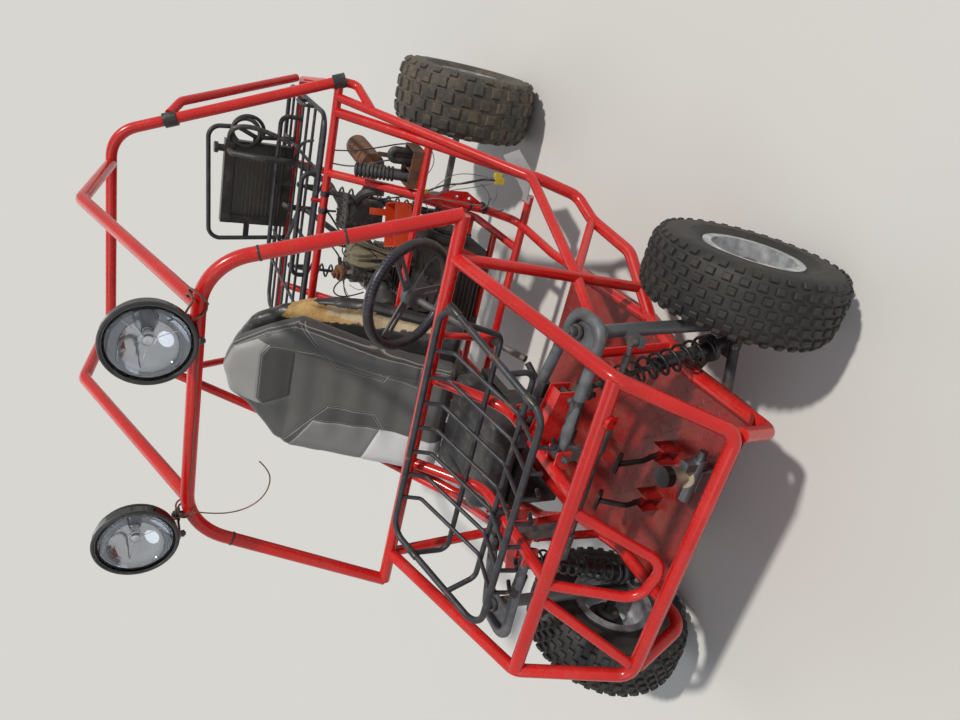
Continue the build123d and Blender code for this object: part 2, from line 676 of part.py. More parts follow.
CASE_LEFT = 230
CASE_RIGHT = -150
DRIVE = (630, 455)
DRIVE_R = 36
with BuildPart() as engine_block:
    with BuildSketch(Plane.YZ.offset(CASE_RIGHT)) as case:
        with BuildLine():
            FilletPolyline(
                (290, 372), (640, 372), (652, 540), (590, 640), (380, 640), (290, 560), (290, 372),
                radius=40, close=False,
            )
        make_face()
    extrude(to_extrude=case.sketch, amount=CASE_LEFT - CASE_RIGHT)
    # Stepped round covers on both ends of the crankshaft
    for x, y, z, cover_r, depth in (
        (CASE_LEFT, 440, 500, 92, 30),
        (CASE_LEFT, 440, 500, 64, 44),
        (CASE_RIGHT, 400, 470, 84, -34),
        (CASE_RIGHT, 400, 470, 40, -46),
    ):
        rod((x, y, z), (x + depth, y, z), 2 * cover_r)
    # The pulley cover on the sloping front face, and the starter beside it
    slope = Plane(origin=(15, 335, 600), z_dir=(0, -0.664, 0.747))
    for cover_r, depth in ((64, 22), (22, 34)):
        with BuildSketch(slope) as cover:
            Circle(cover_r)
        extrude(to_extrude=cover.sketch, amount=depth)
    rod((-146, 352, 628), (-62, 352, 628), 58)
    # The output sprocket
    rod((CASE_RIGHT, *DRIVE), (SPROCKET_X - SPROCKET_HALF, *DRIVE), 24)
    rod((SPROCKET_X + SPROCKET_HALF, *DRIVE), (SPROCKET_X - SPROCKET_HALF, *DRIVE), 2 * DRIVE_R)
    with Locations(*[(x, y, 362) for x in (-90, 170) for y in ENGINE_BAR_Y]):
        Box(50, 40, 24)
    cope("engine_cradle")
finish("engine_block", engine_block)

CHAIN_GAP = 1.5
CHAIN_HEIGHT = 7
with BuildPart() as drive_chain:
    with BuildSketch(Plane.YZ.offset(SPROCKET_X - SPROCKET_HALF)) as belt:
        with Locations((REAR_AXLE_Y, REAR_TYRE_R)):
            Circle(SPROCKET_R + CHAIN_GAP + CHAIN_HEIGHT)
        with Locations(DRIVE):
            Circle(DRIVE_R + CHAIN_GAP + CHAIN_HEIGHT)
        make_hull()
    extrude(to_extrude=belt.sketch, amount=2 * SPROCKET_HALF)
    with BuildSketch(Plane.YZ.offset(SPROCKET_X - SPROCKET_HALF)) as inner:
        with Locations((REAR_AXLE_Y, REAR_TYRE_R)):
            Circle(SPROCKET_R + CHAIN_GAP)
        with Locations(DRIVE):
            Circle(DRIVE_R + CHAIN_GAP)
        make_hull()
    extrude(to_extrude=inner.sketch, amount=2 * SPROCKET_HALF, mode=Mode.SUBTRACT)
finish("drive_chain", drive_chain)

CYLINDER = (60, 520)
FIN_PITCH = 14
BARREL_BASE = 640
# Each course of the cylinder: foot height, width, depth, thickness
COURSES = [(BARREL_BASE, 132, 124, 130), (764, 152, 142, 62), (826, 124, 112, 50), (876, 44, 44, 22)]
COURSES += [(658 + FIN_PITCH * k, 176, 164, 5) for k in range(8)]
COURSES += [(778 + FIN_PITCH * k, 172, 158, 5) for k in range(3)]
with BuildPart() as engine_cylinder:
    for foot, width, depth, thickness in COURSES:
        with BuildSketch(Plane(origin=(*CYLINDER, foot))) as course:
            RectangleRounded(width, depth, 20)
        extrude(to_extrude=course.sketch, amount=thickness)
    # Spigots for the two coolant hoses
    rod((100, 524, 779), (165, 567, 832), 30)
    rod((20, 560, 712.1), (20, 624, 727), 30)
    cope("engine_block")
finish("engine_cylinder", engine_cylinder)

with BuildPart() as air_intake:
    rod((60, 450, 770), (0, 330, 775), 54)
    rod((40, 410, 771.5), (27, 384, 772.5), 82)
    rod((0, 330, 775), (-28, 279, 778), 96)
    cope("engine_cylinder")
finish("air_intake", air_intake)

with BuildPart() as exhaust:
    tube([(100, 560, 800), (115, 650, 815), (210, 690, 830), (360, 655, 800), (420, 760, 760)], 42, 40)
    rod((420, 760, 760), (440, 1010, 760), 100)
    rod((440, 1010, 760), (443, 1048, 760), 38)
    cope("engine_cylinder")
finish("exhaust", exhaust)

TRAY_AT = (303, 331, 773.5)
TRAY_TURN = (0, 0, 21)
with BuildPart() as battery_tray:
    open_tray(TRAY_AT, (167, 110, 65), TRAY_TURN)
    block((329, 397.6, 830), (26, SHEET_T, 80), TRAY_TURN)
    block((300, 281, 738.5), (30, 86, 7))
    cope("seat_tubes")
finish("battery_tray", battery_tray)

BOX_AT = (546, 276, 781)
BOX_TURN = (0, 0, -6)
with BuildPart() as bracket_box:
    open_tray(BOX_AT, (138, 92, 46), BOX_TURN)
    block((564, 318.5, 830), (16, 5, 145), BOX_TURN)
    block((536, 276, 779), (6, 90, 40), BOX_TURN)
    cope("seat_tubes")
finish("bracket_box", bracket_box)

RADIATOR_Y = 1060
CORE_X = 218
CORE_W = 314
CORE_Z = (1060, 1276)
with BuildPart() as radiator:
    middle = (CORE_Z[0] + CORE_Z[1]) / 2
    height = CORE_Z[1] - CORE_Z[0]
    block((CORE_X, RADIATOR_Y, middle), (CORE_W, 14, height))
    for k in range(12):
        block((CORE_X, RADIATOR_Y, CORE_Z[0] + 9 + 18 * k), (CORE_W, 24, 5))
    for centre_z, tank_h in ((CORE_Z[0] - 14, 28), (CORE_Z[1] + 20, 40)):
        block((205, RADIATOR_Y, centre_z), (360, 44, tank_h))
    for x, width, depth in ((43, 36, 40), (380, 10, 34)):
        block((x, RADIATOR_Y, middle), (width, depth, height))
    # The filler neck and its cap
    rod((345, RADIATOR_Y, 1300), (345, RADIATOR_Y, 1342), 30)
    rod((345, RADIATOR_Y, 1342), (345, RADIATOR_Y, 1357), 46)
finish("radiator", radiator)

RADIATOR_HOOP = [(-32, 1031), (-60, 1357), (430, 1385), (440, 1268), (406, 1190), (420, 1031)]
with BuildPart() as radiator_hoop:
    tube([(x, RADIATOR_Y, z) for x, z in RADIATOR_HOOP], RACK_TUBE, [50, 50, 30, 30])
    block((-10, RADIATOR_Y, 1200), (72, 6, 24))
    block((395, RADIATOR_Y, 1190), (24, 6, 24))
    cope("radiator")
finish("radiator_hoop", radiator_hoop)

HOSE = 26
UPPER_HOSE = [
    (340, 1038, 1296), (342, 990, 1290), (350, 928, 1200), (350, 924, 1040), (300, 840, 910),
    (230, 610, 885), (165, 567, 832),
]
LOWER_HOSE = [
    (130, 1038, 1046), (130, 1008, 1046), (130, 1003, 960), (90, 790, 850), (20, 680, 740), (20, 624, 727),
]
DUCT_LOW = Vector(504, 296, 770)
DUCT_TOP = Vector(482, 392, 952)
with BuildPart() as engine_hoses:
    tube(UPPER_HOSE, HOSE, [26, 50, 50, 60, 60])
    tube(LOWER_HOSE, HOSE, [22, 50, 60, 60])
    # The ribbed duct and the elbow that stand in the box
    rod(tuple(DUCT_LOW), tuple(DUCT_TOP), 42)
    duct = DUCT_TOP - DUCT_LOW
    for k in range(10):
        rib = DUCT_LOW + duct * (0.32 + 0.07 * k)
        rod(tuple(rib), tuple(rib + duct.normalized() * 7), 54)
    tube([(558, 288, 762), (558, 290, 862), (592, 290, 862), (592, 288, 762)], 28, 16.5)
    cope("bracket_box", "engine_cylinder", "radiator", "rear_crossbar")
finish("engine_hoses", engine_hoses)

# Racks

FRONT_RACK = [(-372, -603, 984), (410, -603, 984), (285, -995, 856), (-415, -995, 856)]
RACK_BAR = 16
with BuildPart() as front_rack:
    ring_tube(FRONT_RACK, RACK_TUBE, 55)
    for k in range(7):
        x = -243 + 83 * k
        f = -275 + 79 * k
        tube([(x, -603, 984), (x, -622, 925), (f, -850, 824), (f, -995, 856)], RACK_SLAT, 18)
        if abs(abs(f) - HOOD_RAIL_X) < 25:
            rod((f, -995, 856), (f, -1001, 814), RACK_SLAT)
        else:
            tube([(f, -995, 856), (f - 4, -1003, 798), (f - 4, -962, 782)], RACK_SLAT, 14)
    # Two bars hung from the side rails
    tube([(-384, -700, 952), (-388, -700, 837), (350, -700, 840), (381, -700, 952)], RACK_BAR, 30)
    tube([(-399, -855, 902), (-358, -855, 818), (335, -865, 822), (327, -865, 898)], RACK_BAR, 30)
    for side in (1, -1):
        block((side * HOOD_RAIL_X, -862, 804), (40, 30, 32))
        rod((side * 200, -603, 984), (side * 200, -557, 958), 14)
    cope("hood_rails", "cowl_bar")
finish("front_rack", front_rack)

DECK_Z = 1026.5
DECK_LEFT = 620
DECK_RIGHT = -440
DECK_SLATS = (640, 770, 878, 972, 1066, 1160)
REAR_RACK = [(x, y, DECK_Z) for x, y in ((-440, 600), (620, 600), (620, 1255), (-440, 1255))]
with BuildPart() as rear_rack:
    ring_tube(REAR_RACK, RACK_TUBE, 70)
    for y in DECK_SLATS:
        rod((DECK_RIGHT, y, DECK_Z), (DECK_LEFT, y, DECK_Z), RACK_SLAT)
    for x in (-220, 90, 400):
        rod((x, 600, DECK_Z), (x, 1255, DECK_Z), RACK_SLAT + 2)
    # Two raised rails and the small hoop on the left edge
    for y, top, start, end in ((972, 1112, -63, 528), (640, 1080, -45, 384)):
        rail = [(start, y, DECK_Z), (start, y, top), (end, y, top), (end, y, DECK_Z)]
        tube(rail, RACK_TUBE, 34)
        rod((245, y, DECK_Z), (245, y, top), RACK_SLAT)
    tube([(612, 800, DECK_Z), (612, 805, 1070), (612, 915, 1070), (612, 920, DECK_Z)], 14, 20)
    cope("rear_crossbar", "tail_frame", "radiator_hoop", "radiator", "engine_hoses", "mid_rails")
    cope("side_bows", "rear_hoop", "hoop_clamps")
finish("rear_rack", rear_rack)

# Lamps

LAMP_R = 106
# Each lamp: its middle, and the height of its stem's foot in the hoop
LAMPS = [(250, -545, 1684, 1560), (-361, -526, 1700, 1545)]
LAMP_WIRE = [
    (-350, -481, 1602), (-330, -477, 1558), (-346, -474, 1508), (-354, -472, 1455), (-345, -470, 1404),
    (-315, -470, 1364), (-268, -469, 1343), (-215, -468, 1348), (-178, -468, 1381),
]
with BuildPart() as lamp_shells:
    for x, y, z, foot_z in LAMPS:
        # A domed shell with a rolled rim, hollowed by the reflector bowl
        with BuildSketch(Plane(origin=(x, y, z), x_dir=(1, 0, 0), z_dir=(0, 0, 1))) as half:
            with BuildLine():
                ThreePointArc((0, 60), (64, 46), (LAMP_R - 4, 4))
                Polyline(
                    (LAMP_R - 4, 4), (LAMP_R, 0), (LAMP_R, -26), (LAMP_R - 8, -26), (LAMP_R - 8, -16),
                    (LAMP_R - 14, -16),
                )
                ThreePointArc((LAMP_R - 14, -16), (58, 24), (0, 42))
                Line((0, 42), (0, 60))
            make_face()
        revolve(profiles=half.sketch, axis=Axis((x, y, z), (0, 1, 0)), revolution_arc=360)
        rod((x, y + 46, z), (x, y + 6, z), 22)
        # The strap under the lamp and its stem on the hoop
        strap_z = z - LAMP_R - 3
        strap_end = HOOP_TOP[1] + 12
        block((x, (y - 14 + strap_end) / 2, strap_z), (22, strap_end - y + 14, 6))
        rod((x, HOOP_TOP[1], foot_z), (x, HOOP_TOP[1], strap_z + 3), 20)
        rod((x, y - 4, strap_z - 7), (x, y - 4, strap_z + 8), 16)
    gland_axis = (Vector(*LAMP_WIRE[0]) - Vector(*LAMP_WIRE[1])).normalized()
    rod(LAMP_WIRE[0], tuple(Vector(*LAMP_WIRE[0]) + gland_axis * 40), 12)
    cope("windscreen_hoop")
finish("lamp_shells", lamp_shells)

with BuildPart() as lamp_glasses:
    for x, y, z, _ in LAMPS:
        with BuildSketch(Plane(origin=(x, y - 16, z), z_dir=(0, -1, 0))) as disc:
            Circle(LAMP_R - 8.5)
        extrude(to_extrude=disc.sketch, amount=7)
finish("lamp_glasses", lamp_glasses)


def cord(name, points, diameter):
    """Adds one loose cable as straight runs joined by arcs as large as the runs allow."""
    runs = [Vector(*b) - Vector(*a) for a, b in zip(points, points[1:])]
    radii = []
    for run, after in zip(runs, runs[1:]):
        half_turn = radians(run.get_angle(after)) / 2
        radii.append(0.45 * min(run.length, after.length) / tan(half_turn))
    print(name, "bend radii in mm:", [round(r) for r in radii])
    tube(points, diameter, radii)


with BuildPart() as lamp_wire:
    cord("lamp_wire", LAMP_WIRE, 4)
finish("lamp_wire", lamp_wire)

HARNESS = [
    (474, 230, 722), (490, 232, 690), (504, 236, 650), (511, 238, 598), (524, 238, 548), (541, 238, 501),
    (541, 238, 455),
]
with BuildPart() as harness:
    cord("harness", HARNESS, 7)
finish("harness", harness)

with BuildPart() as harness_fittings:
    # The clip under the cross tube, and the two plugs on the loose end
    clip_axis = (Vector(*HARNESS[0]) - Vector(*HARNESS[1])).normalized()
    rod(HARNESS[0], tuple(Vector(*HARNESS[0]) + clip_axis * 18), 15)
    block((541, 238, 437), (24, 14, 36))
    block((561, 240, 446), (16, 12, 30))
    cope("seat_tubes")
finish("harness_fittings", harness_fittings)

# Seats

LEAN_AXIS = (0, -cos(radians(SEAT_LEAN)), sin(radians(SEAT_LEAN)))
SEAT_PLANE = Plane(origin=(SEAT_X, -150, 640), x_dir=(1, 0, 0), z_dir=LEAN_AXIS)
SEAT_T = 110
SEAT_OUTLINE = [
    (-250, 0), (213, 0), (224, 290), (272, 600), (215, 705), (127, 832), (34, 863), (-77, 831),
    (-122, 757), (-235, 640), (-262, 570), (-254, 270), (-250, 0),
]
with BuildPart() as seat_back:
    with BuildSketch(SEAT_PLANE) as face:
        with BuildLine():
            FilletPolyline(*SEAT_OUTLINE, radius=24)
        make_face()
    extrude(to_extrude=face.sketch, amount=-SEAT_T)
finish("seat_back", seat_back)

with BuildPart() as seat_cushion:
    block((SEAT_X, -270, 560), (390, 420, 130))
    fillet(seat_cushion.edges().filter_by(Axis.Z), 60)
    cope("seat_back")
finish("seat_cushion", seat_cushion)

OLD_SEAT_PLANE = Plane(origin=(SEAT_X + 26, 0, 560), x_dir=(1, 0, 0), z_dir=LEAN_AXIS)
OLD_OUTLINE = [
    (-280, 0), (296, 0), (311, 382), (291, 521), (213, 711), (149, 813), (10, 889), (-150, 815),
    (-230, 690), (-285, 500), (-280, 0),
]
with BuildPart() as old_seat_back:
    with BuildSketch(OLD_SEAT_PLANE) as face:
        with BuildLine():
            FilletPolyline(*OLD_OUTLINE, radius=40)
        make_face()
    extrude(to_extrude=face.sketch, amount=-60)
    cope("seat_back", "seat_cushion")
finish("old_seat_back", old_seat_back)

SEAT_GAP = 60
with BuildPart() as seat_pan:
    block((SEAT_X, -270, 475), (370, 400, 38))
    for x in (-140, 140):
        block((SEAT_X + x, -325, 371), (30, 290, 2 * (456 - 371)))
    # The frame that holds the two backs apart
    with BuildSketch(SEAT_PLANE.offset(-SEAT_T)) as straps:
        with Locations((-120, 120), (120, 120)):
            Rectangle(40, 500)
    extrude(to_extrude=straps.sketch, amount=-SEAT_GAP)
    cope("floor_pan", "seat_tubes", "seat_cushion", "old_seat_back")
finish("seat_pan", seat_pan)

# Pedals and hydraulics

# Each pedal: middle of its bracket, middle of its pad
PEDALS = [((-92, -905), (-110, -867, 466)), ((74, -900), (41, -892, 466))]
with BuildPart() as pedals:
    for (x, y), pad in PEDALS:
        for side in (1, -1):
            block((x + side * 22, y, 318), (SHEET_T, 54, 2 * (318 - FLOOR_TOP)))
        rod((x - 28, y, 334), (x + 28, y, 334), 12)
        knee = ((x + pad[0]) / 2, y - 8, 400)
        tube([(x, y, 334), knee, pad], 16, 40)
        with BuildSketch(Plane(origin=pad, x_dir=(1, 0, 0), z_dir=(0, 0.8, 0.6))) as face:
            Ellipse(36, 24)
        extrude(to_extrude=face.sketch, amount=9)
    cope("floor_pan")
finish("pedals", pedals)

RESERVOIR = (95, -1030)
with BuildPart() as master_cylinder:
    rod((25, -1050, 345), (160, -1050, 345), 36)
    rod((160, -1050, 345), (186, -1050, 345), 24)
    rod((*RESERVOIR, 350), (*RESERVOIR, 415), 48)
    rod((*RESERVOIR, 415), (*RESERVOIR, 440), 58)
    block((95, -1048, 313), (64, 44, 54))
    block((140, -1046, 360), (24, 30, 70))
    cope("floor_pan")
finish("master_cylinder", master_cylinder)
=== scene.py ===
"""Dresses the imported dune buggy: paint, rubber, vinyl, rusty steel, an open engine and loose wiring.

Metres, +Z up, ground at z = 0, nose towards -Y, +X on the vehicle's left.
"""
from math import cos, hypot, pi, radians, sin
from random import Random

import bmesh
import bpy
from mathutils import Matrix, Vector


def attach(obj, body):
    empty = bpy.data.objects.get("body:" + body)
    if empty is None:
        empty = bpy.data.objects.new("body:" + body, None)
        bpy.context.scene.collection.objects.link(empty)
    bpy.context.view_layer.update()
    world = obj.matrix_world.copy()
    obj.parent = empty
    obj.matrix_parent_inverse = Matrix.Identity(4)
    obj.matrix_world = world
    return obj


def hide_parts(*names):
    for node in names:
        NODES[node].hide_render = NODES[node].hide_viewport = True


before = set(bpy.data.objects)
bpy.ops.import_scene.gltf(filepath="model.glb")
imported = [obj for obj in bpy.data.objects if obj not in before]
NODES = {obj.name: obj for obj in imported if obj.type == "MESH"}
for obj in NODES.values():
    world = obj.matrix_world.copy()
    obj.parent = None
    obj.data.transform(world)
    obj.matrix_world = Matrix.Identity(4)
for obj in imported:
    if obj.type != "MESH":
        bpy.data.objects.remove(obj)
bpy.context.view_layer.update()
CHASSIS = "chassis"


# Camera: where the photograph was taken from, turned on its side as the photograph is

EYE = Vector((1.094, -2.1915, 1.781))
YAW, PITCH, ROLL = radians(28.70), radians(27.71), radians(-0.19)
FOCAL_PX, FRAME_PX, SENSOR_MM = 721, 960, 36


def set_camera():
    """Places the camera, with the photograph's right-hand edge at the vehicle's ground."""
    forward = Vector((-sin(YAW) * cos(PITCH), cos(YAW) * cos(PITCH), -sin(PITCH)))
    level = Vector((cos(YAW), sin(YAW), 0))
    upward = level.cross(forward)
    right = level * cos(ROLL) + upward * sin(ROLL)
    top = upward * cos(ROLL) - level * sin(ROLL)
    data = bpy.data.cameras.new("camera")
    data.sensor_width = SENSOR_MM
    data.lens = FOCAL_PX / FRAME_PX * SENSOR_MM
    data.clip_end = 60
    camera = bpy.data.objects.new("camera", data)
    bpy.context.scene.collection.objects.link(camera)
    axes = Matrix((-top, right, -forward)).transposed()
    camera.matrix_world = Matrix.Translation(EYE) @ axes.to_4x4()
    bpy.context.scene.camera = camera


# Shader maths: sockets that add and multiply like numbers


class Value:
    """A number that varies over a surface."""

    def __init__(self, finish, socket):
        self.finish, self.socket = finish, socket

    def maths(self, operation, *others, clamp=False):
        node = self.finish.node(
            "ShaderNodeMath", {"operation": operation, "use_clamp": clamp}, self, *others
        )
        return Value(self.finish, node.outputs[0])

    def swapped(self, operation, other):
        node = self.finish.node("ShaderNodeMath", {"operation": operation}, other, self)
        return Value(self.finish, node.outputs[0])

    def __add__(self, other):
        return self.maths("ADD", other)

    def __sub__(self, other):
        return self.maths("SUBTRACT", other)

    def __mul__(self, other):
        return self.maths("MULTIPLY", other)

    def __pow__(self, other):
        return self.maths("POWER", other)

    def __gt__(self, other):
        return self.maths("GREATER_THAN", other)

    def __lt__(self, other):
        return self.maths("LESS_THAN", other)

    def __rsub__(self, other):
        return self.swapped("SUBTRACT", other)

    __radd__, __rmul__ = __add__, __mul__

    def held(self):
        """The value kept between 0 and 1."""
        return self.maths("ADD", 0.0, clamp=True)

    def step(self, low, high):
        """0 below low, 1 above high, smooth between."""
        node = self.finish.node(
            "ShaderNodeMapRange", {"interpolation_type": "SMOOTHSTEP"}, self, low, high, 0.0, 1.0
        )
        return Value(self.finish, node.outputs[0])

    def wave(self):
        return self.maths("SINE")


class Finish:
    """One material, its shader and the patterns that feed it."""

    def __init__(self, name, colour, roughness, metallic=0.0, **fixed):
        self.material = bpy.data.materials.new(name)
        self.material.use_nodes = True
        self.tree = self.material.node_tree
        self.tree.nodes.clear()
        self.output = self.tree.nodes.new("ShaderNodeOutputMaterial")
        self.shader = self.tree.nodes.new("ShaderNodeBsdfPrincipled")
        self.tree.links.new(self.shader.outputs[0], self.output.inputs[0])
        self.shader.inputs["Base Color"].default_value = (*colour, 1)
        self.shader.inputs["Roughness"].default_value = roughness
        self.shader.inputs["Metallic"].default_value = metallic
        for socket, value in fixed.items():
            self.shader.inputs[socket.replace("_", " ")].default_value = value
        self.where = self.tree.nodes.new("ShaderNodeTexCoord").outputs["Object"]

    def plug(self, value, socket):
        """Links a value to a socket, or sets the socket to a plain number, vector or colour."""
        if isinstance(value, Value):
            self.tree.links.new(value.socket, socket)
        elif isinstance(value, bpy.types.NodeSocket):
            self.tree.links.new(value, socket)
        elif value is not None:
            if socket.type == "RGBA" and len(value) == 3:
                value = (*value, 1)
            socket.default_value = value

    def node(self, kind, settings, *values, **named):
        """Adds any node: its settings first, then its inputs in order or by name."""
        node = self.tree.nodes.new(kind)
        for key, value in settings.items():
            setattr(node, key, value)
        for value, socket in zip(values, node.inputs):
            self.plug(value, socket)
        for key, value in named.items():
            self.plug(value, node.inputs[key])
        return node

    def axes(self):
        """The place on the object as three values."""
        node = self.node("ShaderNodeSeparateXYZ", {}, self.where)
        return [Value(self, socket) for socket in node.outputs]

    def stretched(self, scale, turn=(0, 0, 0)):
        """The place, scaled by axis and turned, for patterns with a direction."""
        node = self.node("ShaderNodeMapping", {}, Vector=self.where, Rotation=turn, Scale=scale)
        return node.outputs[0]

    def noise(self, scale, detail=3.0, roughness=0.5, where=None):
        node = self.node(
            "ShaderNodeTexNoise", {}, Vector=where or self.where, Scale=scale, Detail=detail,
            Roughness=roughness,
        )
        return Value(self, node.outputs["Fac"])

    def cells(self, scale):
        node = self.node("ShaderNodeTexVoronoi", {}, Vector=self.where, Scale=scale)
        return Value(self, node.outputs["Distance"])

    def mix(self, factor, first, second):
        """Blends two colours."""
        node = self.node("ShaderNodeMix", {"data_type": "RGBA"})
        self.plug(factor, node.inputs[0])
        self.plug(first, node.inputs[6])
        self.plug(second, node.inputs[7])
        return node.outputs[2]

    def tones(self, factor, colour, dark, light):
        """A colour that runs from a darker to a lighter tone of itself."""
        return self.mix(factor, shade(colour, dark), shade(colour, light))

    def paint(self, colour):
        self.plug(colour, self.shader.inputs["Base Color"])

    def rough(self, value):
        self.plug(value, self.shader.inputs["Roughness"])

    def metal(self, value):
        self.plug(value, self.shader.inputs["Metallic"])

    def relief(self, height, depth, strength=1.0):
        """Presses a height pattern into the surface, depth in metres."""
        bump = self.node("ShaderNodeBump", {}, Strength=strength, Distance=depth, Height=height)
        self.tree.links.new(bump.outputs[0], self.shader.inputs["Normal"])


def shade(colour, k):
    """The colour made k times as bright."""
    return tuple(min(1.0, c * k) for c in colour)


DUST = (0.42, 0.36, 0.29)
RUST = (0.17, 0.065, 0.028)


def painted(name, colour, wear=0.5, gloss=0.24, faded=None, bare=None):
    """Old gloss paint: orange peel, chips down to rust, dull scuffs and a film of dust."""
    f = Finish(name, colour, gloss, Coat_Weight=0.22, Coat_Roughness=0.10, Specular_IOR_Level=0.4)
    cloud = f.noise(5.0, 4.0)
    scuff = (f.noise(38.0, 6.0, 0.72) * 0.7 + cloud * 0.5).step(0.60, 0.76)
    chip = (f.noise(95.0, 3.0, 0.6) + f.noise(11.0, 3.0) * 0.45).step(0.93 - 0.08 * wear, 0.97)
    x, y, z = f.axes()
    dust = (f.noise(14.0, 5.0, 0.65) * 0.8 + (0.9 - z).held() * 0.25).step(0.42, 0.85)
    tone = f.tones(cloud.step(0.3, 0.7), colour, 0.86, 1.1)
    tone = f.mix(scuff * (0.55 * wear), tone, faded or tuple(c * 0.6 + 0.16 for c in colour))
    tone = f.mix(dust * (0.13 * wear), tone, shade(DUST, 0.7))
    tone = f.mix(chip * 0.8, tone, RUST)
    if bare:
        tone = f.mix(bare(x, y, z), tone, f.mix(scuff, (0.30, 0.30, 0.31), (0.20, 0.17, 0.15)))
    f.paint(tone)
    f.rough((scuff * 0.22 * wear + dust * 0.25 * wear + chip * 0.4 + gloss).held())
    f.relief(f.noise(240.0, 2.0) * 0.25 - chip * 0.6, 0.0006, 0.35)
    return f.material


def bare_steel(name, colour, rusty=0.5, gloss=0.45, metallic=0.6):
    """Dark worn steel with rust that gathers in patches and specks."""
    f = Finish(name, colour, gloss, metallic)
    cloud = f.noise(16.0, 6.0, 0.7) + f.noise(70.0, 4.0) * 0.45
    patch = cloud.step(0.86 - 0.22 * rusty, 1.0 - 0.1 * rusty)
    speck = f.noise(210.0, 2.0).step(0.72 - 0.1 * rusty, 0.8)
    tone = f.tones(f.noise(30.0, 5.0).step(0.3, 0.75), colour, 0.7, 1.35)
    tone = f.mix(patch * 0.85, tone, f.mix(f.noise(55.0, 4.0), RUST, shade(RUST, 2.1)))
    tone = f.mix(speck * 0.5, tone, shade(RUST, 1.4))
    f.paint(tone)
    f.rough((patch * 0.35 + gloss + f.noise(44.0, 4.0) * 0.14).held())
    f.metal((1.0 - patch) * metallic)
    f.relief(f.noise(130.0, 5.0, 0.65) + patch * 0.5, 0.0008, 0.4)
    return f.material


def rubber(name, colour, dusty):
    """Tyre rubber: grained, greyed where it is worn, with dry mud on the shoulders."""
    f = Finish(name, colour, 0.62, Specular_IOR_Level=0.42)
    grime = (f.noise(9.0, 6.0, 0.68) * 0.75 + f.noise(60.0, 5.0, 0.7) * 0.45).step(0.50, 0.80)
    tone = f.tones(f.noise(24.0, 4.0), colour, 0.75, 1.5)
    tone = f.mix(grime * dusty, tone, (0.20, 0.155, 0.105))
    f.paint(tone)
    f.rough((grime * 0.25 * dusty + f.noise(50.0, 3.0) * 0.16 + 0.52).held())
    f.relief(f.noise(320.0, 4.0, 0.6) * 0.5 + f.noise(90.0, 3.0) * 0.3, 0.0007, 0.4)
    return f.material


def moulded(name, colour, roughness=0.42, grain=180.0, dusty=0.25):
    """Moulded plastic or satin paint with a fine grain and a little dust."""
    f = Finish(name, colour, roughness)
    dust = f.noise(22.0, 5.0, 0.65).step(0.48, 0.8)
    tone = f.tones(f.noise(40.0, 3.0), colour, 0.86, 1.18)
    f.paint(f.mix(dust * dusty, tone, DUST))
    f.rough((dust * dusty * 0.5 + f.noise(60.0, 3.0) * 0.1 + (roughness - 0.05)).held())
    f.relief(f.noise(grain, 3.0), 0.0004, 0.3)
    return f.material


def vinyl(name, colour, grain=260.0, roughness=0.46, dusty=0.3):
    """Seat vinyl: leather grain pressed into a soft skin, rubbed shiny and dusty in places."""
    f = Finish(name, colour, roughness, Sheen_Weight=0.12, Sheen_Roughness=0.5)
    pebble = f.cells(grain)
    fold = f.noise(7.0, 5.0, 0.6)
    tone = f.tones(fold.step(0.3, 0.72), colour, 0.78, 1.22)
    tone = f.mix(f.noise(34.0, 5.0, 0.7).step(0.5, 0.78) * dusty, tone, DUST)
    tone = f.mix((1.0 - pebble.step(0.0, 0.4)) * 0.35, tone, shade(colour, 0.55))
    f.paint(tone)
    f.rough((fold * 0.2 + (roughness - 0.1) + pebble * 0.08).held())
    f.relief(pebble * 0.5 + fold * 0.8, 0.0016, 0.5)
    return f.material


def cloth(name, colour, thread=900.0, dusty=0.3):
    """A coarse woven or knitted cover."""
    f = Finish(name, colour, 0.85, Sheen_Weight=0.3, Sheen_Roughness=0.6)
    x, y, z = f.axes()
    weave = ((x * thread).wave() * ((y + z) * thread).wave() + 1.0) * 0.5
    tone = f.tones(weave, colour, 0.6, 1.25)
    tone = f.mix(f.noise(12.0, 5.0, 0.7).step(0.42, 0.75) * dusty, tone, DUST)
    f.paint(tone)
    f.relief(weave + f.noise(120.0, 3.0) * 0.6, 0.0012, 0.5)
    return f.material


def cast_metal(name, colour, oily=0.5, gloss=0.42):
    """Rough-cast alloy, stained with oil and road dirt."""
    f = Finish(name, colour, gloss, 0.75)
    stain = (f.noise(13.0, 6.0, 0.7) + f.noise(60.0, 4.0) * 0.3).step(0.52, 0.85)
    tone = f.tones(f.noise(28.0, 4.0), colour, 0.72, 1.25)
    tone = f.mix(stain * oily, tone, (0.045, 0.034, 0.026))
    f.paint(tone)
    f.rough((f.noise(35.0, 4.0) * 0.24 + (gloss - 0.08)).held())
    f.metal(0.8 - stain * 0.5 * oily)
    f.relief(f.noise(420.0, 3.0) + f.noise(90.0, 3.0), 0.0006, 0.45)
    return f.material


def either(masks):
    """1 where any of the masks is 1."""
    whole, *others = masks
    for mask in others:
        whole = whole.maths("MAXIMUM", mask)
    return whole


def halfplane(x, y, a, b, blur=0.001):
    """1 on the left of the line from a to b, 0 on its right, in metres."""
    run = Vector(b) - Vector(a)
    run.normalize()
    return ((y - a[1]) * run.x - (x - a[0]) * run.y).step(-blur, blur)


def inside(x, y, corners, blur=0.001):
    """1 inside a polygon that bulges outwards all round, given anticlockwise in millimetres."""
    corners = [(a / 1000, b / 1000) for a, b in corners]
    mask = None
    for a, b in zip(corners, corners[1:] + corners[:1]):
        edge = halfplane(x, y, a, b, blur)
        mask = edge if mask is None else mask * edge
    return mask


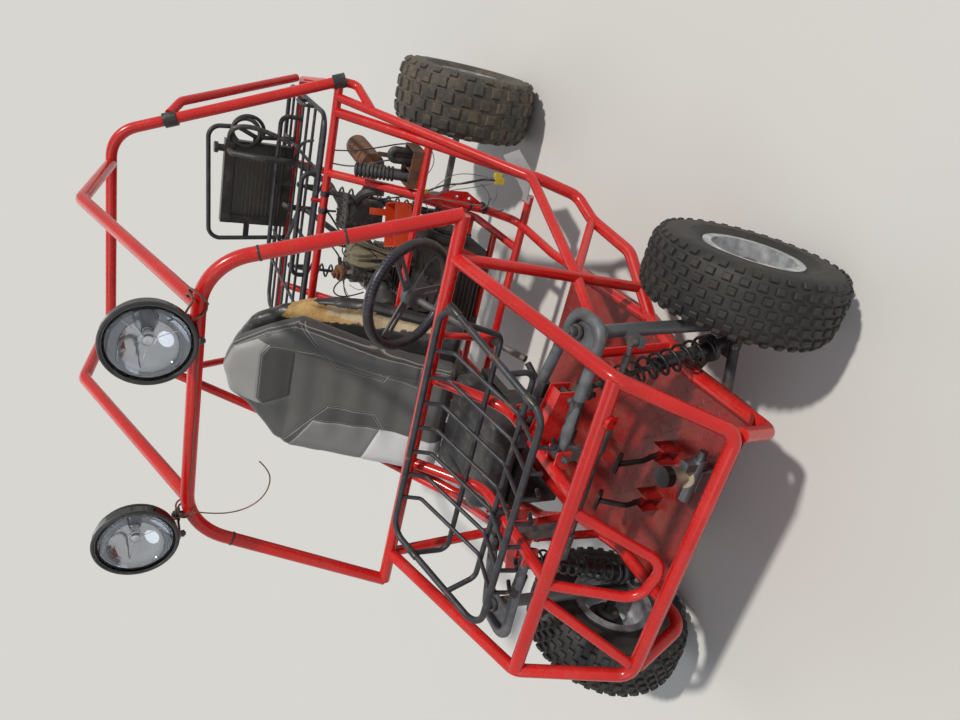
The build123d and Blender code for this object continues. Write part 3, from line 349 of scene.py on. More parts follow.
def on_panel(f, origin, up_axis, out_axis):
    """A place as three values: across, up a leaning panel and out of it."""
    x, y, z = f.axes()
    dy, dz = y - origin[1], z - origin[2]
    return x - origin[0], dy * up_axis[1] + dz * up_axis[2], dy * out_axis[1] + dz * out_axis[2]


STITCH_PITCH, STITCH_ASIDE = 0.0055, 0.0042


def stitched(x, y, lines):
    """Two things about sewn lines: a mask of the thread's stitches, and a band along each seam, used both for
    its pressed groove and for painted shade in that groove.
    """
    threads, seams = [], []
    for line in lines:
        for a, b in zip(line, line[1:]):
            a, b = Vector(a) / 1000, Vector(b) / 1000
            run = b - a
            length = run.length
            run.normalize()
            along = (x - a.x) * run.x + (y - a.y) * run.y
            aside = ((y - a.y) * run.x - (x - a.x) * run.y).maths("ABSOLUTE")
            on = (along > 0.0) * (along < length)
            dash = (along * (2 * pi / STITCH_PITCH)).wave() > -0.35
            off_stitch = (aside - STITCH_ASIDE).maths("ABSOLUTE")
            threads.append((1.0 - off_stitch.step(0.0005, 0.0011)) * on * dash)
            # The band along each seam: its groove, and painted shade in it
            seams.append((1.0 - aside.step(0.0, 0.0018)) * on)
    return either(threads), either(seams)


def plain_floor(name, colour):
    """The pale floor, with no gloss at all."""
    f = Finish(name, colour, 1.0, Specular_IOR_Level=0.0)
    f.paint(f.tones(f.noise(1.6, 5.0), colour, 0.99, 1.01))
    return f.material


SEAT_AT = (-0.290, -0.150, 0.640)
OLD_SEAT_AT = (-0.264, 0.0, 0.560)
LEAN = radians(28)
SEAT_UP = Vector((0, sin(LEAN), cos(LEAN)))
SEAT_OUT = Vector((0, -cos(LEAN), sin(LEAN)))

# Panels of the seat's face, anticlockwise, in millimetres across and up the lean
HEAD_PANEL = [(-90, 688), (158, 677), (169, 726), (117, 811), (34, 848), (-68, 824)]
DARK_PANEL = [(-90, 688), (-40, 591), (151, 587), (158, 677), (113, 707), (-70, 708)]
LEFT_PANEL = [(-300, 308), (-98, 236), (-122, 492), (-290, 605)]
LEFT_BANDS = (
    [(-98, 236), (-40, 271), (-47, 444), (-122, 492)],
    [(-122, 492), (-47, 444), (-228, 603), (-258, 585)],
)
# The right bolster's panel: darker vinyl, made darker still as painted shade for the bolster's own shadow
RIGHT_PANEL_AND_SHADE = [(118, 100), (300, 100), (300, 590), (158, 677)]
SILVER_WEDGE = [(-300, -20), (-104, -20), (-98, 236), (-300, 316)]
SEAT_EDGE = [
    (-236, 20), (-240, 280), (-247, 566), (-223, 628), (-109, 748), (-66, 818), (34, 847), (119, 818),
    (203, 697), (257, 596), (210, 292), (199, 20),
]
SEAT_STITCHES = [
    SEAT_EDGE,
    [(-90, 688), (-70, 708), (113, 707), (158, 677)],
    [(-228, 603), (-116, 500), (-47, 444), (-40, 271), (-103, 224)],
    [(-258, 585), (-122, 492), (-98, 236), (-253, 299)],
    [(259, 576), (170, 466), (124, 432), (110, 256), (145, 241)],
    [(158, 677), (169, 514), (118, 131)],
]


def seat_face(name):
    """The bucket seat's cover: black sides, a charcoal middle, a grey head panel, a silver wedge, and a dark
    right panel that is partly darker vinyl and partly painted shade of the bolster's own shadow.
    """
    f = Finish(name, (0.03, 0.03, 0.032), 0.46, Sheen_Weight=0.08, Sheen_Roughness=0.5)
    x, w, out = on_panel(f, SEAT_AT, SEAT_UP, SEAT_OUT)
    front = out.step(-0.062, -0.052)
    pebble = f.cells(300.0)
    fold = f.noise(7.0, 4.0, 0.5)
    dusty = f.noise(9.0, 6.0, 0.72).step(0.48, 0.85)
    knit = (w * 900.0 + (x * 700.0).wave() * 1.6).wave() * 0.5 + 0.5
    tone = f.mix(knit * 0.6 + fold * 0.4, (0.062, 0.062, 0.060), (0.110, 0.109, 0.104))
    left = inside(x, w, LEFT_PANEL)
    right = inside(x, w, RIGHT_PANEL_AND_SHADE)
    dark = inside(x, w, DARK_PANEL)
    head = inside(x, w, HEAD_PANEL) * (1.0 - dark)
    wedge = inside(x, w, SILVER_WEDGE)
    # Right panel: darker vinyl plus painted shade of the bolster's shadow
    tone = f.mix(right, tone, f.mix(fold, (0.040, 0.041, 0.043), (0.066, 0.067, 0.069)))
    for corners in LEFT_BANDS:
        band = f.mix(fold, (0.045, 0.046, 0.047), (0.064, 0.065, 0.066))
        tone = f.mix(inside(x, w, corners), tone, band)
    tone = f.mix(left, tone, f.mix(fold, (0.125, 0.127, 0.130), (0.195, 0.197, 0.199)))
    shoulder = (w > 0.592) * (1.0 - left)
    tone = f.mix(shoulder, tone, f.mix(fold, (0.050, 0.051, 0.053), (0.085, 0.086, 0.088)))
    tone = f.mix(dark, tone, f.mix(f.noise(90.0, 3.0), (0.030, 0.031, 0.031), (0.050, 0.050, 0.049)))
    tone = f.mix(head, tone, f.mix(fold, (0.26, 0.26, 0.255), (0.38, 0.38, 0.37)))
    tone = f.mix(wedge, tone, f.mix(fold, (0.50, 0.51, 0.53), (0.66, 0.67, 0.68)))
    tone = f.mix(1.0 - front, tone, f.mix(fold, (0.032, 0.033, 0.036), (0.060, 0.061, 0.064)))
    tone = f.mix(dusty * 0.10, tone, DUST)
    thread, seam_groove_shade = stitched(x, w, SEAT_STITCHES)
    # Painted shade in the seams' grooves
    tone = f.mix(seam_groove_shade * front * 0.75, tone, (0.012, 0.012, 0.013))
    tone = f.mix(thread * front, tone, (0.42, 0.42, 0.42))
    f.paint(tone)
    f.rough((fold * 0.14 + pebble * 0.08 + dusty * 0.10 + (0.38 - wedge * 0.08)).held())
    f.relief(pebble * 0.4 + fold * 0.4 + thread * front * 0.8 - seam_groove_shade * front * 1.2, 0.0014, 0.5)
    return f.material


TORN = [(217, 345), (300, 345), (286, 560), (262, 664), (176, 690), (190, 560)]
BARE_CLOTH = [(205, 90), (300, 90), (300, 520), (190, 560), (214, 350)]


def old_seat(name):
    """The old seat behind: black vinyl, its left side torn to tan foam above and cloth below."""
    f = Finish(name, (0.03, 0.03, 0.03), 0.4)
    x, w, out = on_panel(f, OLD_SEAT_AT, SEAT_UP, SEAT_OUT)
    ragged = (f.noise(34.0, 5.0, 0.6) - 0.5) * 0.030
    torn = inside(x + ragged, w + ragged, TORN, 0.0015)
    torn = torn * (x > 0.16) * (x + ragged < 0.262 - (w - 0.5) * 0.10)
    lining = inside(x + ragged, w + ragged, BARE_CLOTH, 0.0015)
    lining = lining * (w < 0.53) * (x + ragged * 0.5 < 0.264)
    cell = f.cells(190.0)
    aged = f.noise(14.0, 6.0, 0.7).step(0.36, 0.72)
    sponge = f.mix(aged, (0.58, 0.38, 0.15), (0.36, 0.21, 0.08))
    sponge = f.mix((1.0 - cell.step(0.05, 0.5)) * 0.4, sponge, (0.20, 0.11, 0.045))
    backing = f.mix(aged, (0.62, 0.50, 0.34), (0.36, 0.27, 0.17))
    skin = f.mix(f.noise(9.0, 4.0), (0.020, 0.020, 0.021), (0.046, 0.046, 0.048))
    skin = f.mix(f.noise(24.0, 5.0, 0.7).step(0.55, 0.8) * 0.22, skin, DUST)
    tone = f.mix(torn, skin, sponge)
    f.paint(f.mix(lining, tone, backing))
    open_side = either([torn, lining])
    f.rough((open_side * 0.5 + f.noise(30.0, 3.0) * 0.15 + 0.30).held())
    f.relief(cell * torn + f.noise(40.0, 5.0) * 0.4 - open_side * 1.2, 0.003, 0.6)
    return f.material


LAMP_PLACES = ((0.250, -0.545, 1.684), (-0.361, -0.526, 1.700))


def lamp_metal(name):
    """A lamp's shell in black chrome with a bright rolled rim, and its polished reflector bowl inside."""
    f = Finish(name, (0.5, 0.5, 0.5), 0.12, 1.0)
    x, y, z = f.axes()
    bowls, rims = [], []
    for px, py, pz in LAMP_PLACES:
        dx, dy, dz = x - px, y - py, z - pz
        reach2 = dx * dx + dz * dz
        bowls.append((dy + reach2 * 4.5 < 0.051) * (reach2 < 0.0092) * (dy + 0.03 > 0.0))
        rims.append((dy < 0.004) * (reach2 > 0.0089) * (reach2 < 0.013) * (dy + 0.03 > 0.0))
    bowl, rim = either(bowls), either(rims)
    grime = f.noise(34.0, 5.0, 0.7).step(0.5, 0.8)
    shell = f.mix(f.noise(20.0, 4.0), (0.030, 0.032, 0.040), (0.085, 0.09, 0.105))
    tone = f.mix(rim, shell, (0.10, 0.105, 0.115))
    tone = f.mix(bowl, tone, f.mix(f.noise(12.0, 3.0), (0.32, 0.34, 0.39), (0.58, 0.59, 0.60)))
    tone = f.mix(grime * 0.25 * (1.0 - bowl), tone, DUST)
    f.paint(tone)
    f.rough((grime * 0.2 * (1.0 - bowl) + f.noise(60.0, 3.0) * 0.05 + 0.10 - bowl * 0.06).held())
    f.relief(f.noise(26.0, 2.0), 0.0012, 0.12)
    return f.material


def clear_glass(name):
    """Clear lamp glass with a little dust on it."""
    f = Finish(name, (0.97, 0.985, 1.0), 0.03, 0.0, IOR=1.25, Transmission_Weight=1.0)
    dust = f.noise(40.0, 5.0, 0.7).step(0.52, 0.85)
    f.rough(dust * 0.1 + 0.02)
    f.paint(f.mix(dust * 0.12, (0.97, 0.985, 1.0), (0.75, 0.70, 0.62)))
    return f.material


WHEEL_AT = (0.280, -0.290, 0.945)
WHEEL_AXIS = Vector((0, 0.410, 0.198)).normalized()


def wheel_finish(name):
    """The steering wheel: a black grip wound with tape in places, and grey spokes and hub."""
    f = Finish(name, (0.02, 0.02, 0.022), 0.5)
    x, y, z = f.axes()
    dx, dy, dz = x - WHEEL_AT[0], y - WHEEL_AT[1], z - WHEEL_AT[2]
    depth = dy * WHEEL_AXIS.y + dz * WHEEL_AXIS.z
    reach = (dx * dx + dy * dy + dz * dz - depth * depth).maths("SQRT")
    grip = reach.step(0.146, 0.150)
    turn = dx.maths("ARCTAN2", dz * WHEEL_AXIS.y - dy * WHEEL_AXIS.z)
    taped = (turn * 2.0 + 0.7).wave().step(0.35, 0.4) * grip
    wound = (turn * 95.0 + depth * 220.0).wave().step(-0.2, 0.6)
    worn = f.noise(30.0, 5.0, 0.7).step(0.5, 0.75)
    tone = f.mix(f.noise(16.0, 4.0), (0.060, 0.062, 0.065), (0.13, 0.132, 0.135))
    rubber_tone = f.mix(f.noise(22.0, 4.0), (0.014, 0.014, 0.016), (0.034, 0.034, 0.036))
    tone = f.mix(grip, tone, rubber_tone)
    tone = f.mix(taped, tone, f.mix(wound, (0.010, 0.011, 0.020), (0.022, 0.024, 0.042)))
    tone = f.mix(worn * 0.3, tone, (0.16, 0.15, 0.14))
    f.paint(tone)
    f.rough((worn * 0.2 + 0.42 - taped * 0.08).held())
    f.relief(f.noise(200.0, 3.0) * 0.3 + wound * taped, 0.0009, 0.5)
    return f.material


TREAD_PITCH = 0.034


def plate_floor(name, colour, faded):
    """The painted floor sheet: raised tread bars, scrapes to bare metal, dust, stains and rust."""
    f = Finish(name, colour, 0.36)
    x, y, z = f.axes()
    pitch = 2 * pi / TREAD_PITCH
    first = ((x + y) * pitch * 0.5).wave()
    second = ((x - y) * pitch * 0.5).wave()
    checker = (first * second).step(-0.05, 0.05)
    bar_a = ((x + y) * pitch).wave().step(0.72, 0.9) * second.step(0.1, 0.5) * checker
    bar_b = ((x - y) * pitch).wave().step(0.72, 0.9) * first.step(0.1, 0.5) * (1.0 - checker)
    bars = either([bar_a, bar_b])
    cloud = f.noise(5.0, 5.0, 0.6)
    dust = (f.noise(9.0, 6.0, 0.72) * 0.9 + cloud * 0.3).step(0.52, 0.86)
    scrape = (f.noise(30.0, 6.0, 0.75, f.stretched((1, 0.16, 1), (0, 0, 0.4))) + cloud * 0.2).step(0.66, 0.76)
    chip = (f.noise(70.0, 4.0, 0.6) + f.noise(8.0, 3.0) * 0.5).step(0.90, 0.96)
    tone = f.tones(cloud.step(0.3, 0.7), colour, 0.75, 1.15)
    tone = f.mix(scrape * 0.55, tone, faded)
    tone = f.mix(dust * 0.42, tone, (0.20, 0.135, 0.095))
    tone = f.mix(chip * 0.75, tone, RUST)
    f.paint(tone)
    f.rough((dust * 0.3 + scrape * 0.2 + chip * 0.3 + 0.34).held())
    f.relief(bars + f.noise(90.0, 3.0) * 0.2 - chip * 0.4, 0.0016, 0.55)
    return f.material


CORE_X, CORE_Z = (0.061, 0.375), (1.061, 1.275)
FIN_PITCH = 0.0032


def radiator_core(name):
    """The radiator: black tanks, and between them grey fin stripes finer than the bars, with painted shade in
    the gaps between them.
    """
    f = Finish(name, (0.03, 0.03, 0.032), 0.5, 0.3)
    x, y, z = f.axes()
    core = (z > CORE_Z[0]) * (z < CORE_Z[1]) * (x > CORE_X[0]) * (x < CORE_X[1])
    fins_and_gap_shade = (x * (2 * pi / FIN_PITCH)).wave() * 0.5 + 0.5
    dirt = f.noise(22.0, 6.0, 0.7).step(0.45, 0.8)
    tone = f.mix(f.noise(18.0, 4.0), (0.020, 0.020, 0.022), (0.048, 0.047, 0.046))
    # Grey fin stripes, with painted shade in the gaps between them
    tone = f.mix(core, tone, f.mix(fins_and_gap_shade, (0.018, 0.018, 0.018), (0.13, 0.125, 0.115)))
    tone = f.mix(dirt * 0.45, tone, (0.17, 0.13, 0.095))
    f.paint(tone)
    f.rough((dirt * 0.25 + 0.42).held())
    f.relief(fins_and_gap_shade * core + dirt * 0.3, 0.0012, 0.6)
    return f.material


def side_plate(x, y, z):
    """Where the cradle's flat side plate lies, left in bare grey."""
    return (z > 0.3395) * (z < 0.3465) * (x.maths("ABSOLUTE") > 0.49)


def two_tone_steel(name, upper, lower, height):
    """Worn steel, one colour above a height and another below it."""
    f = Finish(name, upper, 0.5, 0.35)
    x, y, z = f.axes()
    worn = f.noise(30.0, 5.0, 0.7).step(0.45, 0.8)
    edge = (z + (f.noise(40.0, 4.0) - 0.5) * 0.05).step(height - 0.02, height + 0.02)
    tone = f.mix(edge, lower, upper)
    tone = f.mix(worn * 0.45, tone, (0.10, 0.075, 0.055))
    f.paint(tone)
    f.rough((worn * 0.2 + 0.42).held())
    f.relief(f.noise(120.0, 5.0, 0.65), 0.0008, 0.4)
    return f.material


BOTTLE_AT = (0.095, -1.030)


def fluid_bottle(name):
    """The brake cylinder: a blue-grey casting below, a yellowed bottle on it and a black cap."""
    f = Finish(name, (0.2, 0.2, 0.2), 0.38)
    x, y, z = f.axes()
    dirt = f.noise(30.0, 5.0, 0.7).step(0.45, 0.8)
    reach = ((x - BOTTLE_AT[0]) ** 2.0 + (y - BOTTLE_AT[1]) ** 2.0).maths("SQRT")
    bottle = z.step(0.351, 0.353) * (reach < 0.036)
    tone = f.mix(f.noise(40.0, 4.0), (0.11, 0.13, 0.16), (0.24, 0.26, 0.28))
    tone = f.mix(bottle, tone, f.mix(dirt, (0.50, 0.45, 0.33), (0.30, 0.25, 0.17)))
    tone = f.mix(z.step(0.414, 0.4155) * (reach < 0.045), tone, (0.018, 0.018, 0.019))
    tone = f.mix(dirt * 0.4 * (1.0 - bottle), tone, (0.05, 0.04, 0.032))
    f.paint(tone)
    f.metal((1.0 - bottle) * 0.5)
    f.rough((dirt * 0.2 + 0.34).held())
    f.relief(f.noise(160.0, 4.0), 0.0006, 0.4)
    return f.material


RED, FADED_RED = (0.60, 0.010, 0.009), (0.42, 0.060, 0.042)
FINISH = {
    "red": painted("red_paint", RED, 0.75, faded=FADED_RED),
    "cradle": painted("cradle_paint", RED, 0.9, faded=FADED_RED, bare=side_plate),
    "red_floor": plate_floor("red_floor_paint", (0.27, 0.012, 0.010), (0.26, 0.09, 0.065)),
    "orange": painted("orange_tray", (0.62, 0.060, 0.014), 0.7, 0.42),
    "rack": bare_steel("rack_steel", (0.044, 0.047, 0.056), 0.22, 0.38, 0.4),
    "rust": bare_steel("rusty_steel", (0.10, 0.075, 0.06), 1.3, 0.6, 0.3),
    "arm": bare_steel("arm_grey", (0.125, 0.135, 0.15), 0.2, 0.5, 0.3),
    "knuckle": two_tone_steel("knuckle_steel", (0.12, 0.13, 0.14), (0.030, 0.031, 0.033), 0.40),
    "pedal": two_tone_steel("pedal_paint", (0.020, 0.020, 0.022), (0.42, 0.014, 0.012), 0.352),
    "dark_arm": bare_steel("dark_arm_steel", (0.045, 0.046, 0.05), 0.45, 0.5, 0.35),
    "dull": bare_steel("dull_steel", (0.13, 0.13, 0.135), 0.4, 0.45, 0.6),
    "coil": bare_steel("coil_steel", (0.022, 0.022, 0.024), 0.25, 0.34, 0.3),
    "black": moulded("black_satin", (0.018, 0.018, 0.020), 0.36),
    "plastic": moulded("black_plastic", (0.024, 0.024, 0.026), 0.5, 220.0, 0.4),
    "brown_wire": moulded("brown_wire", (0.13, 0.055, 0.035), 0.45, 300.0, 0.3),
    "bright": bare_steel("bright_steel", (0.52, 0.53, 0.55), 0.0, 0.22, 0.9),
    "khaki": cloth("khaki_cloth", (0.17, 0.145, 0.078), 1400.0, 0.15),
    "grey_wire": moulded("grey_wire", (0.14, 0.145, 0.15), 0.42, 300.0, 0.3),
    "yellow": moulded("yellow_plug", (0.62, 0.46, 0.04), 0.42, 200.0, 0.3),
    "fluid": fluid_bottle("brake_cylinder"),
    "front_rubber": rubber("front_rubber", (0.017, 0.017, 0.018), 0.12),
    "rear_rubber": rubber("rear_rubber", (0.040, 0.038, 0.035), 0.7),
    "silver": bare_steel("silver_rim", (0.50, 0.515, 0.54), 0.0, 0.30, 0.55),
    "alloy": cast_metal("cast_alloy", (0.30, 0.29, 0.28), 0.85),
    "dark_alloy": cast_metal("dark_casting", (0.085, 0.083, 0.08), 0.6, 0.5),
    "radiator": radiator_core("radiator_core"),
    "lamp": lamp_metal("lamp_metal"),
    "glass": clear_glass("lamp_glass"),
    "wheel": wheel_finish("steering_grip"),
    "vinyl": vinyl("black_vinyl", (0.028, 0.029, 0.031)),
    "seat_face": seat_face("seat_face"),
    "old_seat": old_seat("old_seat_skin"),
}

NODE_FINISH = {
    "red": (
        "nose_loop nose_crossbar hood_rails windscreen_hoop side_posts side_bows mid_rails rear_hoop"
        " roof_rails rear_crossbar rear_braces tail_frame seat_tubes cowl_bar"
    ),
    "cradle": "engine_cradle",
    "red_floor": "floor_pan",
    "orange": "battery_tray",
    "rack": "front_rack rear_rack radiator_hoop",
    "rust": "bracket_box exhaust",
    "arm": "upper_arms",
    "knuckle": "knuckle_left knuckle_right",
    "dark_arm": "lower_arms swing_arm",
    "black": "hoop_clamps front_shocks rear_shocks steering_link seat_pan drive_chain",
    "pedal": "pedals",
    "dull": "tie_rod_left tie_rod_right steering_shaft steering_rack rear_axle",
    "plastic": "air_intake engine_hoses lamp_wire harness",
    "yellow": "harness_fittings",
    "wheel": "steering_wheel",
    "front_rubber": "front_tyre_left front_tyre_right",
    "rear_rubber": "rear_tyres",
    "silver": "front_rim_left front_rim_right rear_rims",
    "alloy": "engine_cylinder",
    "dark_alloy": "engine_block",
    "radiator": "radiator",
    "lamp": "lamp_shells",
    "glass": "lamp_glasses",
    "vinyl": "seat_back seat_cushion old_seat_back",
    "fluid": "master_cylinder",
}
for key, names in NODE_FINISH.items():
    for name in names.split():
        NODES[name].data.materials.clear()
        NODES[name].data.materials.append(FINISH[key])


# The plain stage and its light

FLOOR_COLOUR = (0.71, 0.70, 0.68)
FLOOR_REACH = 160
SKY_COLOUR, SKY_STRENGTH = (0.86, 0.93, 1.0), 0.26
SUNS = (
    # name, where it shines from, strength, width in degrees, colour
    ("sun", (0.66, -0.22, 1.0), 2.30, 3, (1.0, 0.955, 0.88)),
    ("front_fill", (-0.3, -1.0, 0.9), 0.42, 40, (0.92, 0.96, 1.0)),
    ("back_fill", (-0.4, 1.0, 0.9), 0.30, 40, (1.0, 0.98, 0.95)),
)


def floor_light():
    """The colour that the open floor sends back under the sky and the lamps."""
    total = [SKY_STRENGTH * c for c in SKY_COLOUR]
    for name, towards, strength, width, colour in SUNS:
        slope = Vector(towards).normalized().z
        total = [t + strength * slope / pi * c for t, c in zip(total, colour)]
    return [t * c for t, c in zip(total, FLOOR_COLOUR)]


def set_stage():
    """A pale floor that runs into a background of its own colour, under a sun and a soft sky."""
    bpy.ops.object.select_all(action="DESELECT")
    bpy.ops.mesh.primitive_plane_add(size=FLOOR_REACH)
    floor = bpy.context.active_object
    floor.name = "floor"
    floor.data.materials.append(plain_floor("pale_floor", FLOOR_COLOUR))
    world = bpy.data.worlds.new("world")
    bpy.context.scene.world = world
    world.use_nodes = True
    tree = world.node_tree
    tree.nodes.clear()
    rays = tree.nodes.new("ShaderNodeLightPath")
    seen = rays.outputs["Is Camera Ray"]
    for kind in ("Is Transmission Ray", "Is Glossy Ray"):
        either = tree.nodes.new("ShaderNodeMath")
        either.operation = "MAXIMUM"
        tree.links.new(seen, either.inputs[0])
        tree.links.new(rays.outputs[kind], either.inputs[1])
        seen = either.outputs[0]
    sky = tree.nodes.new("ShaderNodeBackground")
    sky.inputs[0].default_value = (*SKY_COLOUR, 1)
    sky.inputs[1].default_value = SKY_STRENGTH
    plain = tree.nodes.new("ShaderNodeBackground")
    plain.inputs[0].default_value = (*floor_light(), 1)
    blend = tree.nodes.new("ShaderNodeMixShader")
    tree.links.new(seen, blend.inputs[0])
    tree.links.new(sky.outputs[0], blend.inputs[1])
    tree.links.new(plain.outputs[0], blend.inputs[2])
    out = tree.nodes.new("ShaderNodeOutputWorld")
    tree.links.new(blend.outputs[0], out.inputs[0])
    for name, towards, strength, width, colour in SUNS:
        data = bpy.data.lights.new(name, "SUN")
        data.energy, data.angle, data.color = strength, radians(width), colour
        light = bpy.data.objects.new(name, data)
        bpy.context.scene.collection.objects.link(light)
        light.rotation_euler = Vector(towards).to_track_quat("Z", "Y").to_euler()


set_camera()
set_stage()

# Modelling: Blender's own operators, used as by hand


def mm(*numbers):
    """A point given in millimetres."""
    return Vector(numbers) / 1000


def share(value):
    """A number kept between 0 and 1."""
    return min(1.0, max(0.0, value))


def alone(piece):
    """Makes one piece active, with nothing else selected."""
    bpy.ops.object.select_all(action="DESELECT")
    piece.select_set(True)
    bpy.context.view_layer.objects.active = piece
    return piece


def begin(primitive, **settings):
    """Adds one primitive, with nothing else selected."""
    bpy.ops.object.select_all(action="DESELECT")
    getattr(bpy.ops.mesh, f"primitive_{primitive}_add")(**settings)
    return bpy.context.active_object


def edit(piece, test=None):
    """Opens a piece in edit mode with the faces that pass the test selected, or all of them."""
    alone(piece)
    bpy.ops.object.mode_set(mode="EDIT")
    bpy.ops.mesh.select_mode(type="FACE")
    bpy.ops.mesh.select_all(action="SELECT" if test is None else "DESELECT")
    if test is None:
        return
    mesh = bmesh.from_edit_mesh(piece.data)
    for face in mesh.faces:
        if test(face):
            face.select_set(True)
    mesh.select_flush_mode()
    bmesh.update_edit_mesh(piece.data)


def leave():
    bpy.ops.object.mode_set(mode="OBJECT")


def modify(piece, kind, **settings):
    """Adds a modifier and applies it."""
    alone(piece)
    modifier = piece.modifiers.new(kind.lower(), kind)
    for key, value in settings.items():
        setattr(modifier, key, value)
    bpy.ops.object.modifier_apply(modifier=modifier.name)
    return piece


def bevel(piece, width, segments=2, angle=40):
    return modify(
        piece, "BEVEL", width=width, segments=segments, limit_method="ANGLE", angle_limit=radians(angle)
    )


def fixed(piece):
    """Puts a piece's place into its mesh."""
    alone(piece)
    bpy.ops.object.transform_apply(location=True, rotation=True, scale=True)
    return piece


MERGE_GAP = 0.00005


def mended(piece):
    """Merges what lies together and turns the faces outwards."""
    edit(piece)
    bpy.ops.mesh.remove_doubles(threshold=MERGE_GAP)
    bpy.ops.mesh.normals_make_consistent(inside=False)
    leave()
    return piece


def joined(pieces):
    """Makes one piece of several."""
    bpy.ops.object.select_all(action="DESELECT")
    for piece in pieces:
        piece.select_set(True)
    bpy.context.view_layer.objects.active = pieces[0]
    if len(pieces) > 1:
        bpy.ops.object.join()
    return pieces[0]


def copies(piece, places):
    """Copies of a piece, each with its own mesh, at those places; the pattern itself goes."""
    made = []
    for place in places:
        twin = piece.copy()
        twin.data = piece.data.copy()
        bpy.context.scene.collection.objects.link(twin)
        twin.matrix_world = place @ piece.matrix_world
        made.append(twin)
    bpy.data.objects.remove(piece)
    return joined(made)


def facing(place, axis, roll=0.0):
    """The matrix that stands a piece on a place, with its Z along the axis."""
    turn = Vector(axis).to_track_quat("Z", "Y").to_matrix().to_4x4()
    return Matrix.Translation(place) @ turn @ Matrix.Rotation(radians(roll), 4, "Z")


def keep(piece, name, finish, body=CHASSIS, smooth=35, replaces=()):
    """Finishes a piece: its name, material, shading, the body it rides on and what it stands for."""
    fixed(piece)
    piece.name = name
    piece.data.materials.clear()
    piece.data.materials.append(FINISH[finish])
    alone(piece)
    bpy.ops.object.shade_smooth_by_angle(angle=radians(smooth))
    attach(piece, body)
    if replaces:
        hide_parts(*replaces)
    return piece


def turned(profile, axis_at, axis, steps=48):
    """A closed section of points, spun once round an axis."""
    piece = begin("circle", vertices=len(profile), radius=0.1)
    for vertex, point in zip(piece.data.vertices, profile):
        vertex.co = point
    edit(piece)
    bpy.ops.mesh.spin(steps=steps, angle=2 * pi, center=axis_at, axis=axis)
    leave()
    return mended(piece)


def rod(low, high, radius, sides=16, end=None, rim=0.0):
    """A round bar between two points, with its rims bevelled."""
    low, high = Vector(low), Vector(high)
    piece = begin("cone", vertices=sides, radius1=radius, radius2=end or radius, depth=(high - low).length)
    piece.matrix_world = facing((low + high) / 2, high - low)
    if rim:
        bevel(piece, rim)
    return piece


def slab(centre, size, turn=(0, 0, 0), rim=0.002):
    """A block with bevelled edges."""
    piece = begin("cube", size=1, location=centre, rotation=[radians(a) for a in turn])
    piece.scale = size
    bpy.ops.object.transform_apply(location=False, rotation=False, scale=True)
    if rim:
        bevel(piece, rim, 2)
    return piece


def nut(place, axis, across, height, roll=0.0):
    """A hexagon nut with the end of its stud standing out of it."""
    body = begin("cylinder", vertices=6, radius=across / 2, depth=height)
    bevel(body, height * 0.14, 2)
    stud = rod((0, 0, -height / 2), (0, 0, height * 0.85), across * 0.27, 12, rim=across * 0.04)
    piece = joined([fixed(body), fixed(stud)])
    piece.matrix_world = facing(mm(*place), axis, roll)
    return fixed(piece)


def sleeve(place, axis, radius, length, rim=0.001, sides=24):
    """A band of tape or a collar round a tube, in millimetres."""
    along = Vector(axis).normalized() * length / 2000
    return fixed(rod(mm(*place) - along, mm(*place) + along, radius / 1000, sides, rim=rim))


def ring(place, axis, major, minor, segments=32):
    """A round wire ring about an axis, in millimetres."""
    bpy.ops.object.select_all(action="DESELECT")
    bpy.ops.mesh.primitive_torus_add(
        major_radius=major / 1000, minor_radius=minor / 1000, major_segments=segments, minor_segments=8
    )
    piece = bpy.context.active_object
    piece.matrix_world = facing(mm(*place), axis)
    return fixed(piece)


def smooth_line(name, points, diameter, rings=6):
    """A curve on a smooth line through the frame of its points, with a round section."""
    data = bpy.data.curves.new(name, "CURVE")
    data.dimensions = "3D"
    data.bevel_depth = diameter / 2
    data.bevel_resolution = 2
    data.resolution_u = rings
    data.use_fill_caps = True
    spline = data.splines.new("NURBS")
    spline.points.add(len(points) - 1)
    for point, place in zip(spline.points, points):
        point.co = (*mm(*place), 1)
    spline.order_u = 3
    spline.use_endpoint_u = True
    piece = bpy.data.objects.new(name, data)
    bpy.context.scene.collection.objects.link(piece)
    return piece


def pipe(points, diameter):
    """A bent rod, pipe or tied wire, made a mesh."""
    piece = alone(smooth_line("pipe", points, diameter / 1000))
    bpy.ops.object.convert(target="MESH")
    return bpy.context.active_object


# Loose wiring


def cable(name, points, diameter, finish):
    """One free cable on a smooth line through the frame of its route."""
    piece = smooth_line(name, points, diameter, 10)
    piece.data.materials.append(finish)
    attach(piece, CHASSIS)
    return piece


LAMP_WIRE = [
    (-350, -481, 1602), (-330, -477, 1558), (-346, -474, 1508), (-354, -472, 1455), (-345, -470, 1404),
    (-315, -470, 1364), (-268, -469, 1343), (-215, -468, 1348), (-178, -468, 1381),
]
HARNESS = [
    (474, 230, 722), (490, 232, 690), (504, 236, 650), (511, 238, 598), (524, 238, 548), (541, 238, 501),
    (541, 238, 455),
]
lamp_cable = cable(
    "lamp_cable", LAMP_WIRE, 0.004, FINISH["brown_wire"]
)
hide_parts("lamp_wire")
loom = cable(
    "loom", HARNESS, 0.007, FINISH["plastic"]
)
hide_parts("harness")


# The floor

FLOOR_STATIONS = [
    # y, height and half width of the sheet
    (-1259, 496, 345), (-1250, 482, 345), (-1140, 334, 345), (-1122, 312, 345), (-1102, 294, 345),
    (-1078, 285, 345), (-1020, 284, 345), (-860, 284, 345), (-750, 284, 374), (-640, 284, 400),
    (-410, 284, 392), (-180, 284, 382),
]
FLOOR_COLUMNS = 14
LIP, SAG = 13, 2.0
LUG_X, LUG_Z = 190, 260


